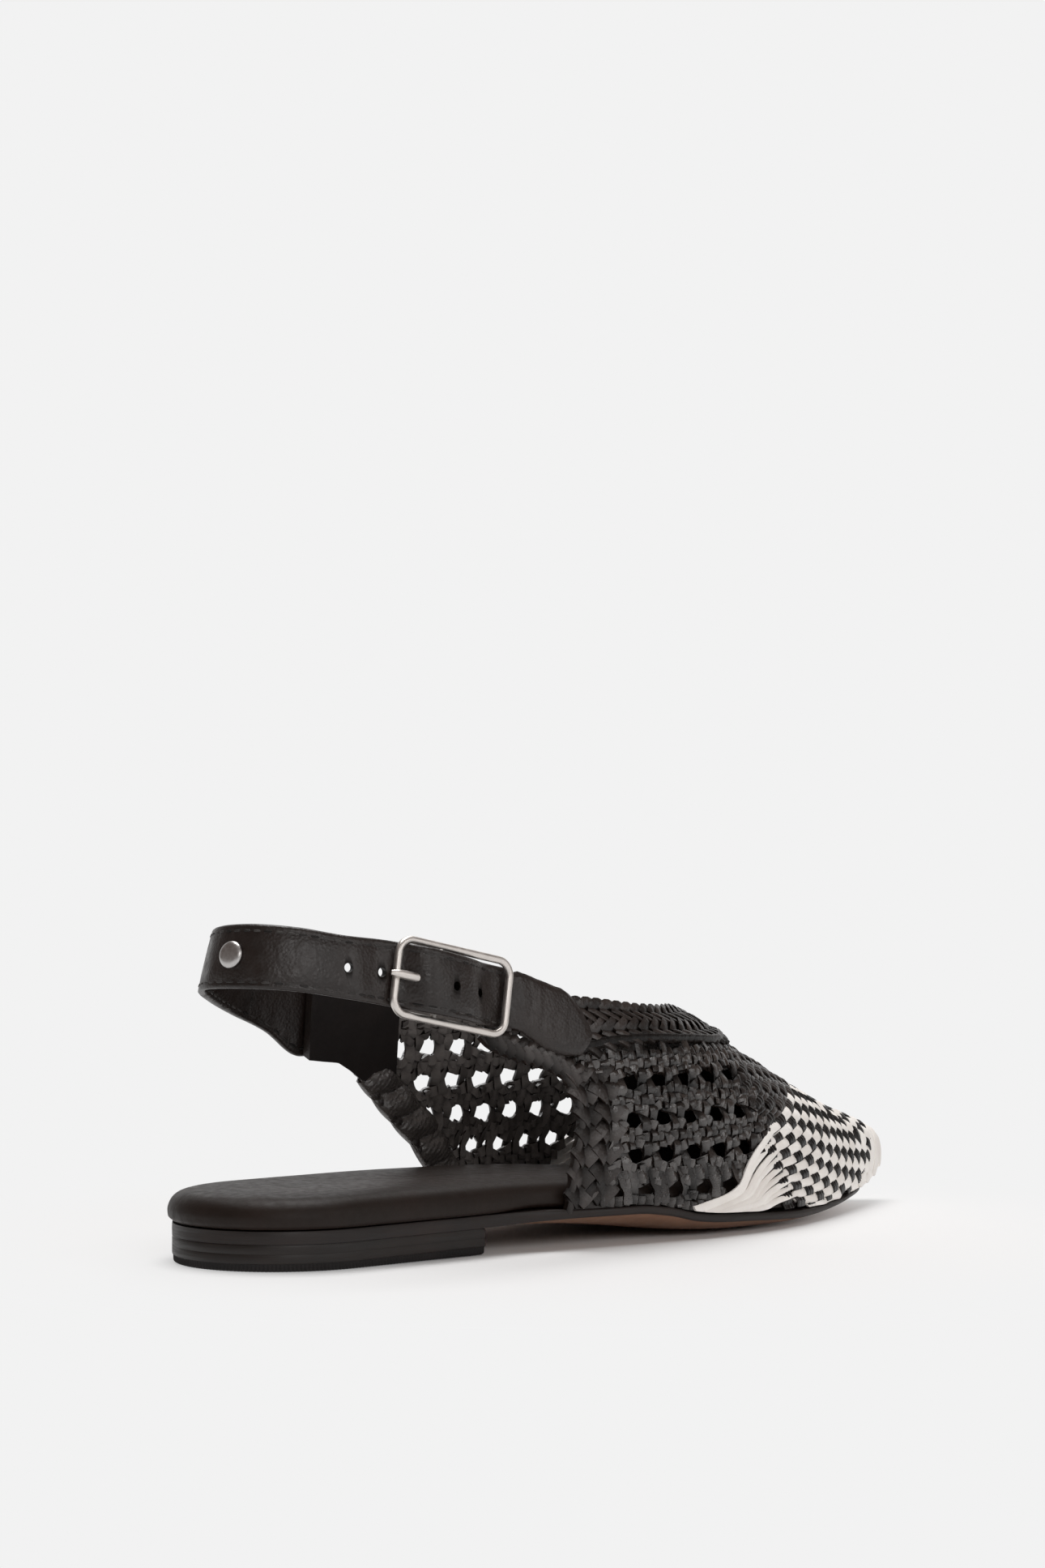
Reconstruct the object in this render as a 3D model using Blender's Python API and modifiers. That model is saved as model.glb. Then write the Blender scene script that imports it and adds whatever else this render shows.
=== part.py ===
"""Woven leather slingback flat, right foot, pointed toe.

Frame: +Y to the toe, +X to the outer side of the foot, +Z up, the floor at
zero and the origin under the middle of the shoe. Sizes are in millimetres in
the tables and become metres as each mesh is made.
"""
from math import asin, cos, hypot, pi, radians, sin, sqrt

import bmesh
import bpy
import numpy as np
from mathutils import Vector

# Driving dimensions, in millimetres
MM = 0.001
GAP = 0.3                # clearance between pieces that meet
TOE_TIP = 264.0          # length from the back of the heel to the toe
HEEL_HALF = 29.4         # half width of the heel block
HEEL_ROUND = 31.6        # length of the half ellipse at the back of the heel
HEEL_BREAST = 78.0       # front face of the heel block
TOP_PIECE = 2.0          # rubber under the heel
TOP_PIECE_INSET = 0.4
HEEL_RIM = 0.25          # rounding of the heel's edges
HEEL_TOP = 6.9           # upper face of the heel block
SOLE_TIP = 258.0         # front of the outsole
INSOLE_BACK = -1.0       # the padded insole overhangs the heel
INSOLE_HALF = 30.8
INSOLE_TIP = 247.0
TOE_START = 236.0        # from here the wall also draws back from the tip
TOE_DRAW = 1.3           # how far it draws back, by inset
TOE_HALF = 12.0          # half width and height below which an inset shrinks
TOE_HEIGHT = 22.0
FEATHER_GAP = 0.42       # between the outsole and the upper's lower edge
INSOLE_GAP = 0.48        # between the outsole and the insole
WALL = 1.8               # woven wall between its two faces
RELIEF = 0.7             # height of the strips over the wall
CELLS_LONG = 27          # strips across the foot, from wing to toe
CELLS_ROUND = 18         # strips along the foot, from edge to edge
WING_BACK = 62.0         # rear end of the inner wing
HOLE_WIDTH = 4.6         # gaps of the open weave
HOLE_PITCH = 10.5        # spacing of the gaps along the foot
BAND = 2.0               # thickness of the collar band
BAND_RELIEF = 0.3        # height of its plaited strips
BAND_BACK = 66.0         # where it begins, before its end is cut
PLAIT = 1.2              # thickness of the plaits on the rear edges
PLAIT_WIDTH = 14.0
PLAIT_LOW = 11.6         # heights of the plaits' ends
PLAIT_HIGH = {1: 46.5, -1: 48.0}
STRAP = 2.0              # doubled strap leather
WIRE = 2.1               # buckle wire
BUCKLE_HEIGHT = 22.4     # outer sizes of the buckle frame
BUCKLE_BACK = 45.8       # middle of the rear bar
BUCKLE_BAR = 59.0        # bar that holds tab and prong
BUCKLE_FRONT = 82.6      # middle of the front bar
BUCKLE_CORNER = 4.2
PRONG = 1.5
PRONG_LIFT = 0.05        # of the arm over the bars' clearance
PRONG_ROOM = 0.72        # wider than the prong, for the hole it passes through
STRAP_HOLE = 2.4
STRAP_HOLES = (31.5, 42.0, 63.5, 73.5)
RIVET_RADIUS = 3.7
RIVET_PLACE = 0.492      # share of the strap's length from its sewn end
OUTER_SHARE = 0.6        # past this share the strap is on the outer side
CUT_SIDE = 60.0          # cutters reach past the shoe's sides, top, back and front
CUT_TOP = 120.0
CUT_LOW = 40.0           # under the collar band
CUT_BACK = 30.0
CUT_FRONT = 230.0
CUT_LAP = 0.5            # overlap of two cutters that meet on the top line

# Mesh density
SOLE_STATIONS = 40
INSOLE_STATIONS = 36
HEEL_STEPS = 16
INNER_STRIDE = 4         # the wall's inner face has one point to four of its outer face
BAND_PITCH = 6.6         # herringbone of the collar band along the foot
BAND_ROWS = 21
BAND_STEPS = 36          # points round the foot in the band's full half turn
PLAIT_ROWS = 14
NOSE_STEPS = 7           # of the tab's rounded front
STRAP_ROWS = 62
ARC_STEPS = 14           # of the throat's rounded front
PEG_SIDES = 6
PUNCH_SIDES = 10

# Sections of the outsole: outline, height of its lower edge, height of the
# middle of its underside and thickness of its edge
SOLE_COLUMNS = ("y", "lat", "med", "low", "mid", "edge")
SOLE_SECTIONS = [
    (0, 29.4, -29.4, 7.2, 7.2, 3.4),
    (32, 29.4, -29.4, 7.2, 7.2, 3.4),
    (60, 28.6, -28.6, 7.2, 7.2, 3.4),
    (80, 28.2, -28.4, 7.2, 7.1, 3.4),
    (96, 32.0, -30.4, 8.2, 6.4, 2.8),
    (110, 34.2, -31.8, 8.5, 5.4, 2.0),
    (127, 36.8, -33.8, 8.6, 3.8, 1.9),
    (138, 37.9, -35.2, 7.4, 2.4, 2.0),
    (148, 38.6, -36.6, 5.1, 1.2, 2.0),
    (157, 38.9, -37.5, 4.2, 0.4, 2.0),
    (166, 38.5, -37.9, 3.8, 0.0, 2.0),
    (181, 36.6, -37.0, 2.9, 0.0, 2.0),
    (194, 33.2, -34.8, 2.2, 0.0, 2.0),
    (206, 28.8, -31.5, 2.0, 0.3, 2.0),
    (220, 22.6, -26.4, 2.3, 1.0, 2.0),
    (234, 15.4, -19.8, 3.1, 2.0, 2.0),
    (246, 8.6, -13.4, 4.1, 3.2, 2.0),
    (253, 3.4, -8.4, 5.0, 4.2, 2.0),
    (256.6, 0.2, -5.2, 5.3, 4.7, 2.0),
    (258, -2.3, -2.7, 5.4, 4.9, 2.0),
]

# Rounding of the outsole's underside, from its middle to its edge: scale of
# the outline across and along, and share of the rise to the edge
SOLE_ROUND = [(0.55, 0.90, 0.0), (0.86, 0.97, 0.35), (1.0, 1.0, 1.0)]

# Sections of the upper: half widths at the sole, lift over the sole, place
# and height of the top line, roundness (1 is an ellipse) and swell of the side
LAST_COLUMNS = ("y", "lat", "med", "lift", "ridge_x", "ridge_z", "square", "swell")
LAST_SECTIONS = [
    (50, 30.0, -30.6, 0.0, 0.0, 113.0, 0.50, 1.0),
    (80, 30.6, -30.8, 0.0, 0.0, 100.0, 0.50, 1.5),
    (104, 33.0, -31.2, 0.0, 0.0, 89.5, 0.52, 2.0),
    (125, 36.0, -33.0, 0.0, 0.0, 79.5, 0.56, 2.0),
    (145, 37.8, -35.6, 0.0, -1.0, 70.2, 0.60, 1.6),
    (157, 38.2, -36.8, 0.0, -1.5, 64.8, 0.64, 1.3),
    (172, 37.4, -37.1, 0.0, -2.0, 58.2, 0.68, 1.1),
    (188, 34.4, -35.4, 0.0, -2.4, 51.2, 0.72, 1.0),
    (204, 29.0, -31.5, 0.0, -2.6, 44.0, 0.76, 1.0),
    (220, 22.0, -25.8, 0.0, -2.8, 36.9, 0.80, 1.0),
    (236, 14.0, -18.6, 0.0, -2.8, 30.4, 0.84, 1.1),
    (248, 7.8, -12.4, 0.1, -2.7, 26.4, 0.88, 1.2),
    (256, 3.2, -7.8, 0.8, -2.6, 23.6, 0.92, 1.0),
    (261, 0.2, -5.0, 2.6, -2.5, 20.8, 0.96, 0.4),
    (263.3, -1.4, -3.6, 4.8, -2.5, 18.0, 1.0, 0.1),
    (264, -2.4, -2.6, 7.4, -2.5, 15.4, 1.0, 0.0),
]

# Height of the insole's upper face
INSOLE_COLUMNS = ("y", "top")
INSOLE_SECTIONS = [
    (-1, 19.4), (70, 19.4), (100, 19.0), (125, 18.0), (145, 16.6),
    (160, 15.2), (190, 12.6), (220, 11.6), (247, 11.4),
]

# Rounding of the insole's edge, from its bottom up: inset from the outline
# and share of the height
INSOLE_ROUND = [
    (1.3, 0.0), (0.0, 0.25), (0.2, 0.58), (1.4, 0.84), (4.0, 0.97), (9.0, 1.0),
]

# Side-view lines: the collar's edge, the lower edge of the collar band and
# the rear edges of both wings
COLLAR_LINE = [
    (40, 76.5), (62, 74.6), (100, 70.3), (118, 68.2), (140, 65.1), (158, 63.0), (165, 62.1),
]
BAND_LINES = {
    1: [(40, 51.0), (105, 52.4), (114, 55.2), (130, 55.8), (153, 54.8), (175, 52.2), (191, 49.0)],
    -1: [(40, 57.6), (80, 57.8), (125, 57.4), (150, 55.6), (175, 52.2), (191, 49.0)],
}
BAND_WIDTH = 16.0        # of the band in front of the throat
REAR_COLUMNS = ("z", "y")
LATERAL_REAR = [
    (5, 103.2), (10, 103.4), (27, 105.8), (34, 107.2), (40, 106.6), (45, 104.6),
    (48, 102.0), (49.3, 98.0), (50.2, 90.0), (52, 82.5), (55, 77.5), (57.4, 76.2),
]
LATERAL_TAIL = [(58.6, 76.2), (58.8, 92.0), (CUT_TOP, 92.0)]
MEDIAL_REAR = [
    (5, 111.0), (11, 109.0), (19, 104.6), (27.4, 98.4), (34.8, 90.4), (42.2, 82.8),
    (48, 77.0), (51, 72.0), (51.8, WING_BACK), (CUT_TOP, WING_BACK),
]
THROAT_FRONT = 172.0     # front of the throat on the top line
THROAT_ROUND = 17.0      # length of the throat's rounded front
THROAT_HALF = 14.0       # its half width
THROAT_FLOOR = 45.0      # a height inside the foot's space, under the top line

# Rows of gaps in the open weave: height, first and last place along the foot
HOLE_COLUMNS = ("z", "first", "last")
LATERAL_HOLES = [
    (45.0, 125.5, 179.0), (34.7, 125.5, 172.0), (24.4, 125.2, 162.0), (14.6, 130.0, 153.0),
]
MEDIAL_HOLES = [
    (52.6, 95.0, 148.0), (42.4, 105.0, 179.0), (32.4, 110.0, 175.0), (22.4, 126.0, 168.0),
]

# The strap's path from its sewn inner end round the heel to its tip: plan
# place of its middle, both edges, and how far the lower edge leans outward
STRAP_COLUMNS = ("x", "y", "low", "high", "lean")
STRAP_PATH = [
    (-32.0, 67.0, 52.0, 71.8, 1.2),
    (-31.7, 60.0, 51.6, 73.4, 1.3),
    (-30.4, 49.0, 58.6, 77.2, 1.5),
    (-27.2, 36.0, 63.9, 81.4, 1.7),
    (-20.8, 24.4, 68.0, 85.2, 1.9),
    (-12.0, 14.2, 71.5, 88.4, 2.0),
    (0.0, 8.8, 73.4, 90.2, 2.1),
    (11.8, 11.6, 73.8, 90.8, 2.0),
    (20.4, 20.2, 73.0, 89.9, 1.7),
    (25.8, 31.0, 71.0, 87.8, 1.4),
    (29.2, 45.0, 68.4, 85.0, 1.0),
    (30.8, 63.0, 64.7, 81.2, 0.9),
    (31.2, 76.0, 61.9, 78.4, 0.9),
    (31.3, 80.4, 61.0, 77.5, 0.9),
]

# The strap weaves through the buckle: offset from its path, in and out
THREAD_COLUMNS = ("y", "offset")
THREADING = [
    (33.5, 0.0), (42.4, -2.45), (48.5, -2.45), (59.0, 4.2), (69.0, 2.0), (78.4, -2.45),
    (80.4, -2.45),
]

# The tab from the buckle to the vamp: its lower and upper edge, and its front
# edge by share of its height
TAB_COLUMNS = ("y", "low", "high")
TAB_EDGES = [
    (86, 61.2, 75.8), (91, 57.8, 74.2), (97, 54.2, 72.0), (103, 52.6, 70.0), (112, 52.0, 68.4),
]
NOSE_COLUMNS = ("share", "y")
TAB_FRONT = [(0.0, 107.6), (0.3, 111.4), (0.65, 109.4), (1.0, 104.6)]
TAB_START = 88.5
TAB_LEATHER = 2.0
TONGUE = 1.2             # single leather that folds round the bar
TONGUE_WIDTH = 14.0
TONGUE_SLOT = 4.0        # half length of the slot in the fold
RIVET_UP = 0.05          # place of the rivet across the strap

# The tongue's middle line beside its fold, before and after it: distance in
# front of the bar and height over it
TONGUE_UNDER = [(8.5, -2.9), (4.0, -2.5)]
TONGUE_OVER = [(4.5, 0.94), (8.0, 0.2), (12.0, -2.6), (17.0, -4.5), (24.0, -4.4)]

# The prong's arm: share of the way from the rear bar to the middle bar, and
# whether it lies over the eye (0) or over the rear bar (1); then its tip
PRONG_ARM = [(0.7, 0.0), (0.4, 1.0), (0.0, 1.0)]
PRONG_TIP = [(-1.6, -0.2), (-2.6, -0.8)]

# Turned profile of the rivet's head: share of its radius and height
RIVET_PROFILE = [
    (0.0, 1.5), (0.45, 1.42), (0.75, 1.2), (0.94, 0.8), (1.0, 0.4), (0.97, 0.0), (0.0, 0.0),
]

COLLECTION_NAME = "woven_slingback_flat"


# Smooth columns through the tables

def smooth(xs, ys):
    """A curve through the rows that never swings past them."""
    xs = np.asarray(xs, float)
    ys = np.asarray(ys, float)
    step = np.diff(xs)
    rise = np.diff(ys) / step
    slope = np.zeros_like(ys)
    for k in range(1, len(xs) - 1):
        if rise[k - 1] * rise[k] > 0:
            slope[k] = 2 * rise[k - 1] * rise[k] / (rise[k - 1] + rise[k])
    slope[0] = rise[0]
    slope[-1] = rise[-1]

    def value(x):
        x = min(max(x, xs[0]), xs[-1])
        k = min(int(np.searchsorted(xs, x, side="right")) - 1, len(step) - 1)
        t = (x - xs[k]) / step[k]
        start = ys[k] * (1 + 2 * t) * (1 - t) ** 2 + ys[k + 1] * t * t * (3 - 2 * t)
        return start + step[k] * t * (1 - t) * (slope[k] * (1 - t) - slope[k + 1] * t)

    return value


def columns(names, rows):
    """One smooth curve for each named column, read along the first column."""
    data = list(zip(*rows))
    return {name: smooth(data[0], data[k]) for k, name in enumerate(names) if k}


SOLE = columns(SOLE_COLUMNS, SOLE_SECTIONS)
LAST = columns(LAST_COLUMNS, LAST_SECTIONS)
INSOLE = columns(INSOLE_COLUMNS, INSOLE_SECTIONS)
REAR = {1: columns(REAR_COLUMNS, LATERAL_REAR)["y"], -1: columns(REAR_COLUMNS, MEDIAL_REAR)["y"]}
TAB = columns(TAB_COLUMNS, TAB_EDGES)


# The last: one function for every wall that lies on it

def sole_top(y):
    return SOLE["low"](y) + SOLE["edge"](y)


def feather(y):
    """Height of the upper's lower edge."""
    return sole_top(min(y, SOLE_TIP)) + FEATHER_GAP + LAST["lift"](y)


def eased(inset, size, full):
    """An inset that shrinks with the section, for the narrow toe."""
    return inset * min(1.0, size / full)


def wall_point(y, angle, inset=0.0):
    """Point of the upper's surface, angle 0 at the outer edge and pi at the inner one."""
    ridge_x = LAST["ridge_x"](y)
    side = 1 if angle <= pi / 2 else -1
    half = LAST["lat"](y) - ridge_x if side > 0 else ridge_x - LAST["med"](y)
    low = feather(y)
    height = LAST["ridge_z"](y) - low
    across = abs(cos(angle))
    up = sin(angle)
    reach = half - eased(inset, half, TOE_HALF)
    reach = reach * across ** LAST["square"](y) + LAST["swell"](y) * 2 * across * up
    back = eased(inset, max(y - TOE_START, 0), TOE_TIP - TOE_START)
    z = low + (height - eased(inset, height, TOE_HEIGHT)) * up
    return Vector((ridge_x + side * reach, y - TOE_DRAW * back, z))


def wall_angle(y, z, side):
    """Angle of the upper's surface at a height of its side."""
    low = feather(y)
    share = min(max((z - low) / (LAST["ridge_z"](y) - low), 0.0), 0.999)
    return asin(share) if side > 0 else pi - asin(share)


def wall_at(y, z, side, inset=0.0):
    """Point of the upper's side at a place along the foot and a height."""
    point = wall_point(y, wall_angle(y, z, side), inset)
    return Vector((point.x, y, z))


# Meshes

def collection(name):
    group = bpy.data.collections.new(name)
    bpy.context.scene.collection.children.link(group)
    return group


def finish(name, colour, roughness, metallic=0.0):
    material = bpy.data.materials.new(name)
    material.use_nodes = True
    shader = material.node_tree.nodes["Principled BSDF"]
    shader.inputs["Base Color"].default_value = (*colour, 1.0)
    shader.inputs["Roughness"].default_value = roughness
    shader.inputs["Metallic"].default_value = metallic
    return material


def add(name, bm, material=None, group=None):
    """A closed mesh in millimetres as an object in metres."""
    bmesh.ops.recalc_face_normals(bm, faces=bm.faces)
    bmesh.ops.scale(bm, vec=(MM, MM, MM), verts=bm.verts)
    mesh = bpy.data.meshes.new(name)
    bm.to_mesh(mesh)
    bm.free()
    piece = bpy.data.objects.new(name, mesh)
    (group or PARTS).objects.link(piece)
    piece.parent = SHOE
    if material:
        mesh.materials.append(material)
        mesh.shade_smooth()
        mesh.set_sharp_from_angle(angle=radians(35))
    else:
        piece.hide_render = True
        piece.display_type = "WIRE"
    return piece


def cut(piece, cutter, operation="DIFFERENCE"):
    modifier = piece.modifiers.new(cutter.name, "BOOLEAN")
    modifier.object = cutter
    modifier.operation = operation
    modifier.solver = "EXACT"


def quads(bm, rows, closed=False):
    """Faces between neighbouring rows of the same length."""
    for first, second in zip(rows, rows[1:]):
        last = len(first) if closed else len(first) - 1
        for k in range(last):
            n = (k + 1) % len(first)
            bm.faces.new((first[k], first[n], second[n], second[k]))


def zip_rows(bm, first, second):
    """Triangles between two rows of different length."""
    a = b = 0
    while a < len(first) - 1 or b < len(second) - 1:
        next_a = (a + 1) / (len(first) - 1)
        next_b = (b + 1) / (len(second) - 1)
        if b == len(second) - 1 or (a < len(first) - 1 and next_a <= next_b):
            bm.faces.new((first[a], first[a + 1], second[b]))
            a += 1
        else:
            bm.faces.new((first[a], second[b + 1], second[b]))
            b += 1


def ladder(bm, ring):
    """Cap of a ring whose two sides hold the same stations, tip to tip."""
    half = len(ring) // 2
    left = ring[:half + 1]
    right = [ring[0]] + ring[:half - 1:-1]
    bm.faces.new((left[0], left[1], right[1]))
    for k in range(1, half - 1):
        bm.faces.new((left[k], left[k + 1], right[k + 1], right[k]))
    bm.faces.new((left[half - 1], left[half], right[half - 1]))


def stations(start, end, count):
    """Places along the foot, closer together at both ends."""
    return [start + (end - start) * (0.5 - 0.5 * cos(pi * k / count)) ** 0.9 for k in range(count + 1)]


def outline(places, lat, med):
    """Closed ring of plan points: heel tip, outer side, toe tip, inner side."""
    first, last = places[0], places[-1]
    ring = [((lat(first) + med(first)) / 2, first)]
    ring += [(lat(y), y) for y in places[1:-1]]
    ring += [((lat(last) + med(last)) / 2, last)]
    ring += [(med(y), y) for y in reversed(places[1:-1])]
    return ring


def stacked(name, ring, levels, material):
    """Solid through scaled copies of a ring. A level is (scale_x, scale_y, height of y)."""
    bm = bmesh.new()
    middle = (ring[0][1] + ring[len(ring) // 2][1]) / 2
    rows = []
    for scale_x, scale_y, height in levels:
        row = []
        for x, y in ring:
            place = middle + (y - middle) * scale_y
            row.append(bm.verts.new((x * scale_x, place, height(place))))
        rows.append(row)
    quads(bm, rows, closed=True)
    ladder(bm, rows[0])
    ladder(bm, rows[-1])
    return add(name, bm, material)


def heel_round(y, start, length):
    """Half-width factor of the round back of the heel."""
    t = min((y - start) / length, 1.0)
    return sqrt(max(1 - (1 - t) ** 2, 0.0))


def prism(name, points, axis, start, end):
    """Cutter: a flat outline run along X or Z."""
    bm = bmesh.new()
    rows = []
    for depth in (start, end):
        if axis == "X":
            rows.append([bm.verts.new((depth, a, b)) for a, b in points])
        else:
            rows.append([bm.verts.new((a, b, depth)) for a, b in points])
    quads(bm, rows, closed=True)
    for row in rows:
        bm.faces.new(row)
    return add(name, bm, group=CUTTERS)


def shell(bm, outer, inner):
    """Closed wall between two grids that share their number of rows, in flat triangles."""
    quads(bm, outer)
    quads(bm, inner)
    for k in (0, -1):
        quads(bm, [[row[k] for row in outer], [row[k] for row in inner]])
        zip_rows(bm, outer[k], inner[k])
    bmesh.ops.triangulate(bm, faces=bm.faces)


# Sole, heel and insole

def sole_side(side):
    def value(y):
        return SOLE[side](y) * heel_round(y, 0.0, HEEL_ROUND)
    return value


def make_outsole(material):
    ring = outline(stations(0, SOLE_TIP, SOLE_STATIONS), sole_side("lat"), sole_side("med"))

    def underside(share):
        def height(y):
            return SOLE["mid"](y) + share * (SOLE["low"](y) - SOLE["mid"](y))
        return height

    levels = [(across, along, underside(share)) for across, along, share in SOLE_ROUND]
    return stacked("outsole", ring, levels + [(1.0, 1.0, sole_top)], material)


def heel_ring(inset):
    """Heel outline: round back, straight sides, square breast."""
    scale = 1 - inset / HEEL_HALF
    front = HEEL_BREAST - inset
    ring = []
    for k in range(HEEL_STEPS + 1):
        angle = pi - pi * k / HEEL_STEPS
        x = HEEL_HALF * scale * cos(angle)
        ring.append((x, HEEL_ROUND - (HEEL_ROUND - inset) * sin(angle)))
    middle = (HEEL_ROUND + HEEL_BREAST) / 2
    sides = [(SOLE["lat"](y) * scale, y) for y in (middle, front)]
    return ring + sides + [(-x, y) for x, y in reversed(sides)]


def make_block(name, low, high, inset, material):
    """Part of the heel: an outline raised to its height, with a rounded rim."""
    bm = bmesh.new()
    ring = heel_ring(inset)
    base = bm.faces.new([bm.verts.new((x, y, low)) for x, y in ring])
    raised = bmesh.ops.extrude_face_region(bm, geom=[base])["geom"]
    tops = [v for v in raised if isinstance(v, bmesh.types.BMVert)]
    bmesh.ops.translate(bm, vec=(0, 0, high - low), verts=tops)
    piece = add(name, bm, material)
    bevel = piece.modifiers.new("rim", "BEVEL")
    bevel.width = HEEL_RIM * MM
    bevel.segments = 1
    bevel.limit_method = "ANGLE"
    bevel.angle_limit = radians(50)
    return piece


def insole_side(side):
    sign = 1 if side == "lat" else -1

    def value(y):
        inside = abs(LAST[side](y)) - WALL - 2 * GAP
        half = INSOLE_HALF * heel_round(y, INSOLE_BACK, HEEL_ROUND)
        if y > WING_BACK:
            tip = heel_round(INSOLE_TIP, y, 12.0)
            half = min(INSOLE_HALF, inside) if y < LATERAL_REAR[0][1] else inside
            centre = LAST["ridge_x"](y)
            return centre + (sign * half - centre) * tip
        return sign * half

    return value


def make_insole(material):
    places = stations(INSOLE_BACK, INSOLE_TIP, INSOLE_STATIONS)
    ring = outline(places, insole_side("lat"), insole_side("med"))
    long = (INSOLE_TIP - INSOLE_BACK) / 2

    def level(inset, share):
        def height(y):
            low = sole_top(max(y, 0)) + INSOLE_GAP
            return low + (INSOLE["top"](y) - low) * share
        return (1 - inset / INSOLE_HALF, 1 - inset / long, height)

    return stacked("insole", ring, [level(*row) for row in INSOLE_ROUND], material)


# Upper

def weave_inset(long, around):
    """Strips raised over the wall: crossings high, their corners low."""
    odd = (long % 2) + (around % 2)
    return -RELIEF * (0.0, 0.5, 1.0)[odd]


def toe_places(start, count):
    """Rows along the foot, closer together where the toe turns in."""
    rows = []
    for k in range(count + 1):
        t = k / count
        rows.append(start + (TOE_TIP - start) * (1.16 * t - 0.16 * t ** 3))
    return rows


def make_upper(material):
    bm = bmesh.new()
    start = WING_BACK - 6
    places = toe_places(start, 2 * CELLS_LONG)
    turns = [pi * k / (2 * CELLS_ROUND) for k in range(2 * CELLS_ROUND + 1)]
    outer = []
    for i, y in enumerate(places):
        rim = i in (0, len(places) - 1)
        row = []
        for j, angle in enumerate(turns):
            edge = rim or j in (0, len(turns) - 1)
            row.append(bm.verts.new(wall_point(y, angle, 0.0 if edge else weave_inset(i, j))))
        outer.append(row)
    inner_turns = turns[::INNER_STRIDE]
    inner = [[bm.verts.new(wall_point(y, angle, WALL)) for angle in inner_turns] for y in places]
    shell(bm, outer, inner)
    bmesh.ops.remove_doubles(bm, verts=bm.verts, dist=0.02)
    piece = add("upper", bm, material)
    for cutter in (THROAT_SIDE, THROAT_NOSE, REAR_CUT[1], REAR_CUT[-1], HOLES):
        cut(piece, cutter)
    return piece


def rear_cutter(side):
    heights = [row[0] for row in (LATERAL_REAR if side > 0 else MEDIAL_REAR)]
    edge = [(REAR[side](z), z) for z in heights]
    if side > 0:
        edge += [(y, z) for z, y in LATERAL_TAIL]
    frame = [(CUT_BACK, CUT_TOP), (CUT_BACK, edge[0][1])]
    return prism("rear_cut_%d" % side, edge + frame, "X", 0.0, side * CUT_SIDE)


def band_end(side):
    """Cuts the band short of the tab on the outer side and of the strap on the inner side."""
    if side > 0:
        edge = []
        for k in range(NOSE_STEPS + 1):
            share = k / NOSE_STEPS
            y = TAB_NOSE(share)
            low, high = TAB["low"](y), TAB["high"](y)
            edge.append((y + 2 * GAP, low + (high - low) * share))
        edge = [(edge[0][0], CUT_LOW)] + edge + [(edge[-1][0], CUT_TOP)]
    else:
        end = STRAP_PATH[0][1] + 2 * GAP
        edge = [(end, CUT_LOW), (end, CUT_TOP)]
    frame = [(CUT_BACK, CUT_TOP), (CUT_BACK, CUT_LOW)]
    return prism("band_end_%d" % side, edge + frame, "X", 0.0, side * CUT_SIDE)


def throat_arc(wider):
    """Plan points of the throat's rounded front, or of a curve a given distance outside it."""
    middle = THROAT_FRONT - THROAT_ROUND
    ridge = LAST["ridge_x"](THROAT_FRONT)
    arc = []
    for k in range(ARC_STEPS + 1):
        turn = pi * k / ARC_STEPS
        x = ridge + (THROAT_HALF + wider) * cos(turn)
        arc.append((x, middle + (THROAT_ROUND + wider) * sin(turn)))
    return arc


def throat_nose():
    return prism("throat_nose", throat_arc(0.0), "Z", THROAT_FLOOR, CUT_TOP)


def band_front():
    """Cuts the band's front edge on a curve outside the throat."""
    arc = throat_arc(BAND_WIDTH)
    start = arc[0][1]
    frame = [(-CUT_SIDE, start), (-CUT_SIDE, CUT_FRONT), (CUT_SIDE, CUT_FRONT), (CUT_SIDE, start)]
    return prism("band_front", arc + frame, "Z", 0.0, CUT_TOP)


def band_low(side):
    line = BAND_LINES[side]
    frame = [(CUT_FRONT, line[-1][1]), (CUT_FRONT, 0), (line[0][0], 0)]
    return prism("band_low_%d" % side, line + frame, "X", -side * CUT_LAP, side * CUT_SIDE)


def hole_cutters():
    """Six-sided pegs through both sides at every gap of the open weave."""
    bm = bmesh.new()
    for side, table in ((1, LATERAL_HOLES), (-1, MEDIAL_HOLES)):
        for values in table:
            gap_row = dict(zip(HOLE_COLUMNS, values))
            count = int((gap_row["last"] - gap_row["first"]) / HOLE_PITCH) + 1
            for k in range(count):
                y = gap_row["first"] + HOLE_PITCH * k
                rows = []
                for inset in (WALL + HOLE_WIDTH, -RELIEF - HOLE_WIDTH):
                    x = wall_at(y, gap_row["z"], side, inset).x
                    row = []
                    for corner in range(PEG_SIDES):
                        angle = 2 * pi * corner / PEG_SIDES
                        height = gap_row["z"] + HOLE_WIDTH / 2 * sin(angle)
                        place = y + HOLE_WIDTH / 2 * cos(angle)
                        row.append(bm.verts.new((x, place, height)))
                    rows.append(row)
                quads(bm, rows, closed=True)
                for row in rows:
                    bm.faces.new(row)
    return add("weave_gaps", bm, group=CUTTERS)


def make_band(material):
    """Collar band: cut from between two forms of the last, over the woven wall."""
    bm = bmesh.new()
    base = -RELIEF - GAP
    places = [BAND_BACK + BAND_PITCH * k for k in range(BAND_ROWS)]
    turns = [pi * k / BAND_STEPS for k in range(3, BAND_STEPS - 2)]
    outer = []
    for i, y in enumerate(places):
        row = []
        for j, angle in enumerate(turns):
            lift = BAND + BAND_RELIEF * ((i + j) % 2)
            row.append(bm.verts.new(wall_point(y, angle, base - lift)))
        outer.append(row)
    inner = [[bm.verts.new(wall_point(y, a, base)) for a in turns] for y in places]
    shell(bm, outer, inner)
    piece = add("collar_band", bm, material)
    for cutter in (THROAT_SIDE, THROAT_NOSE, BAND_FRONT, *BAND_LOW.values(), *BAND_ENDS.values()):
        cut(piece, cutter)
    return piece


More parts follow.
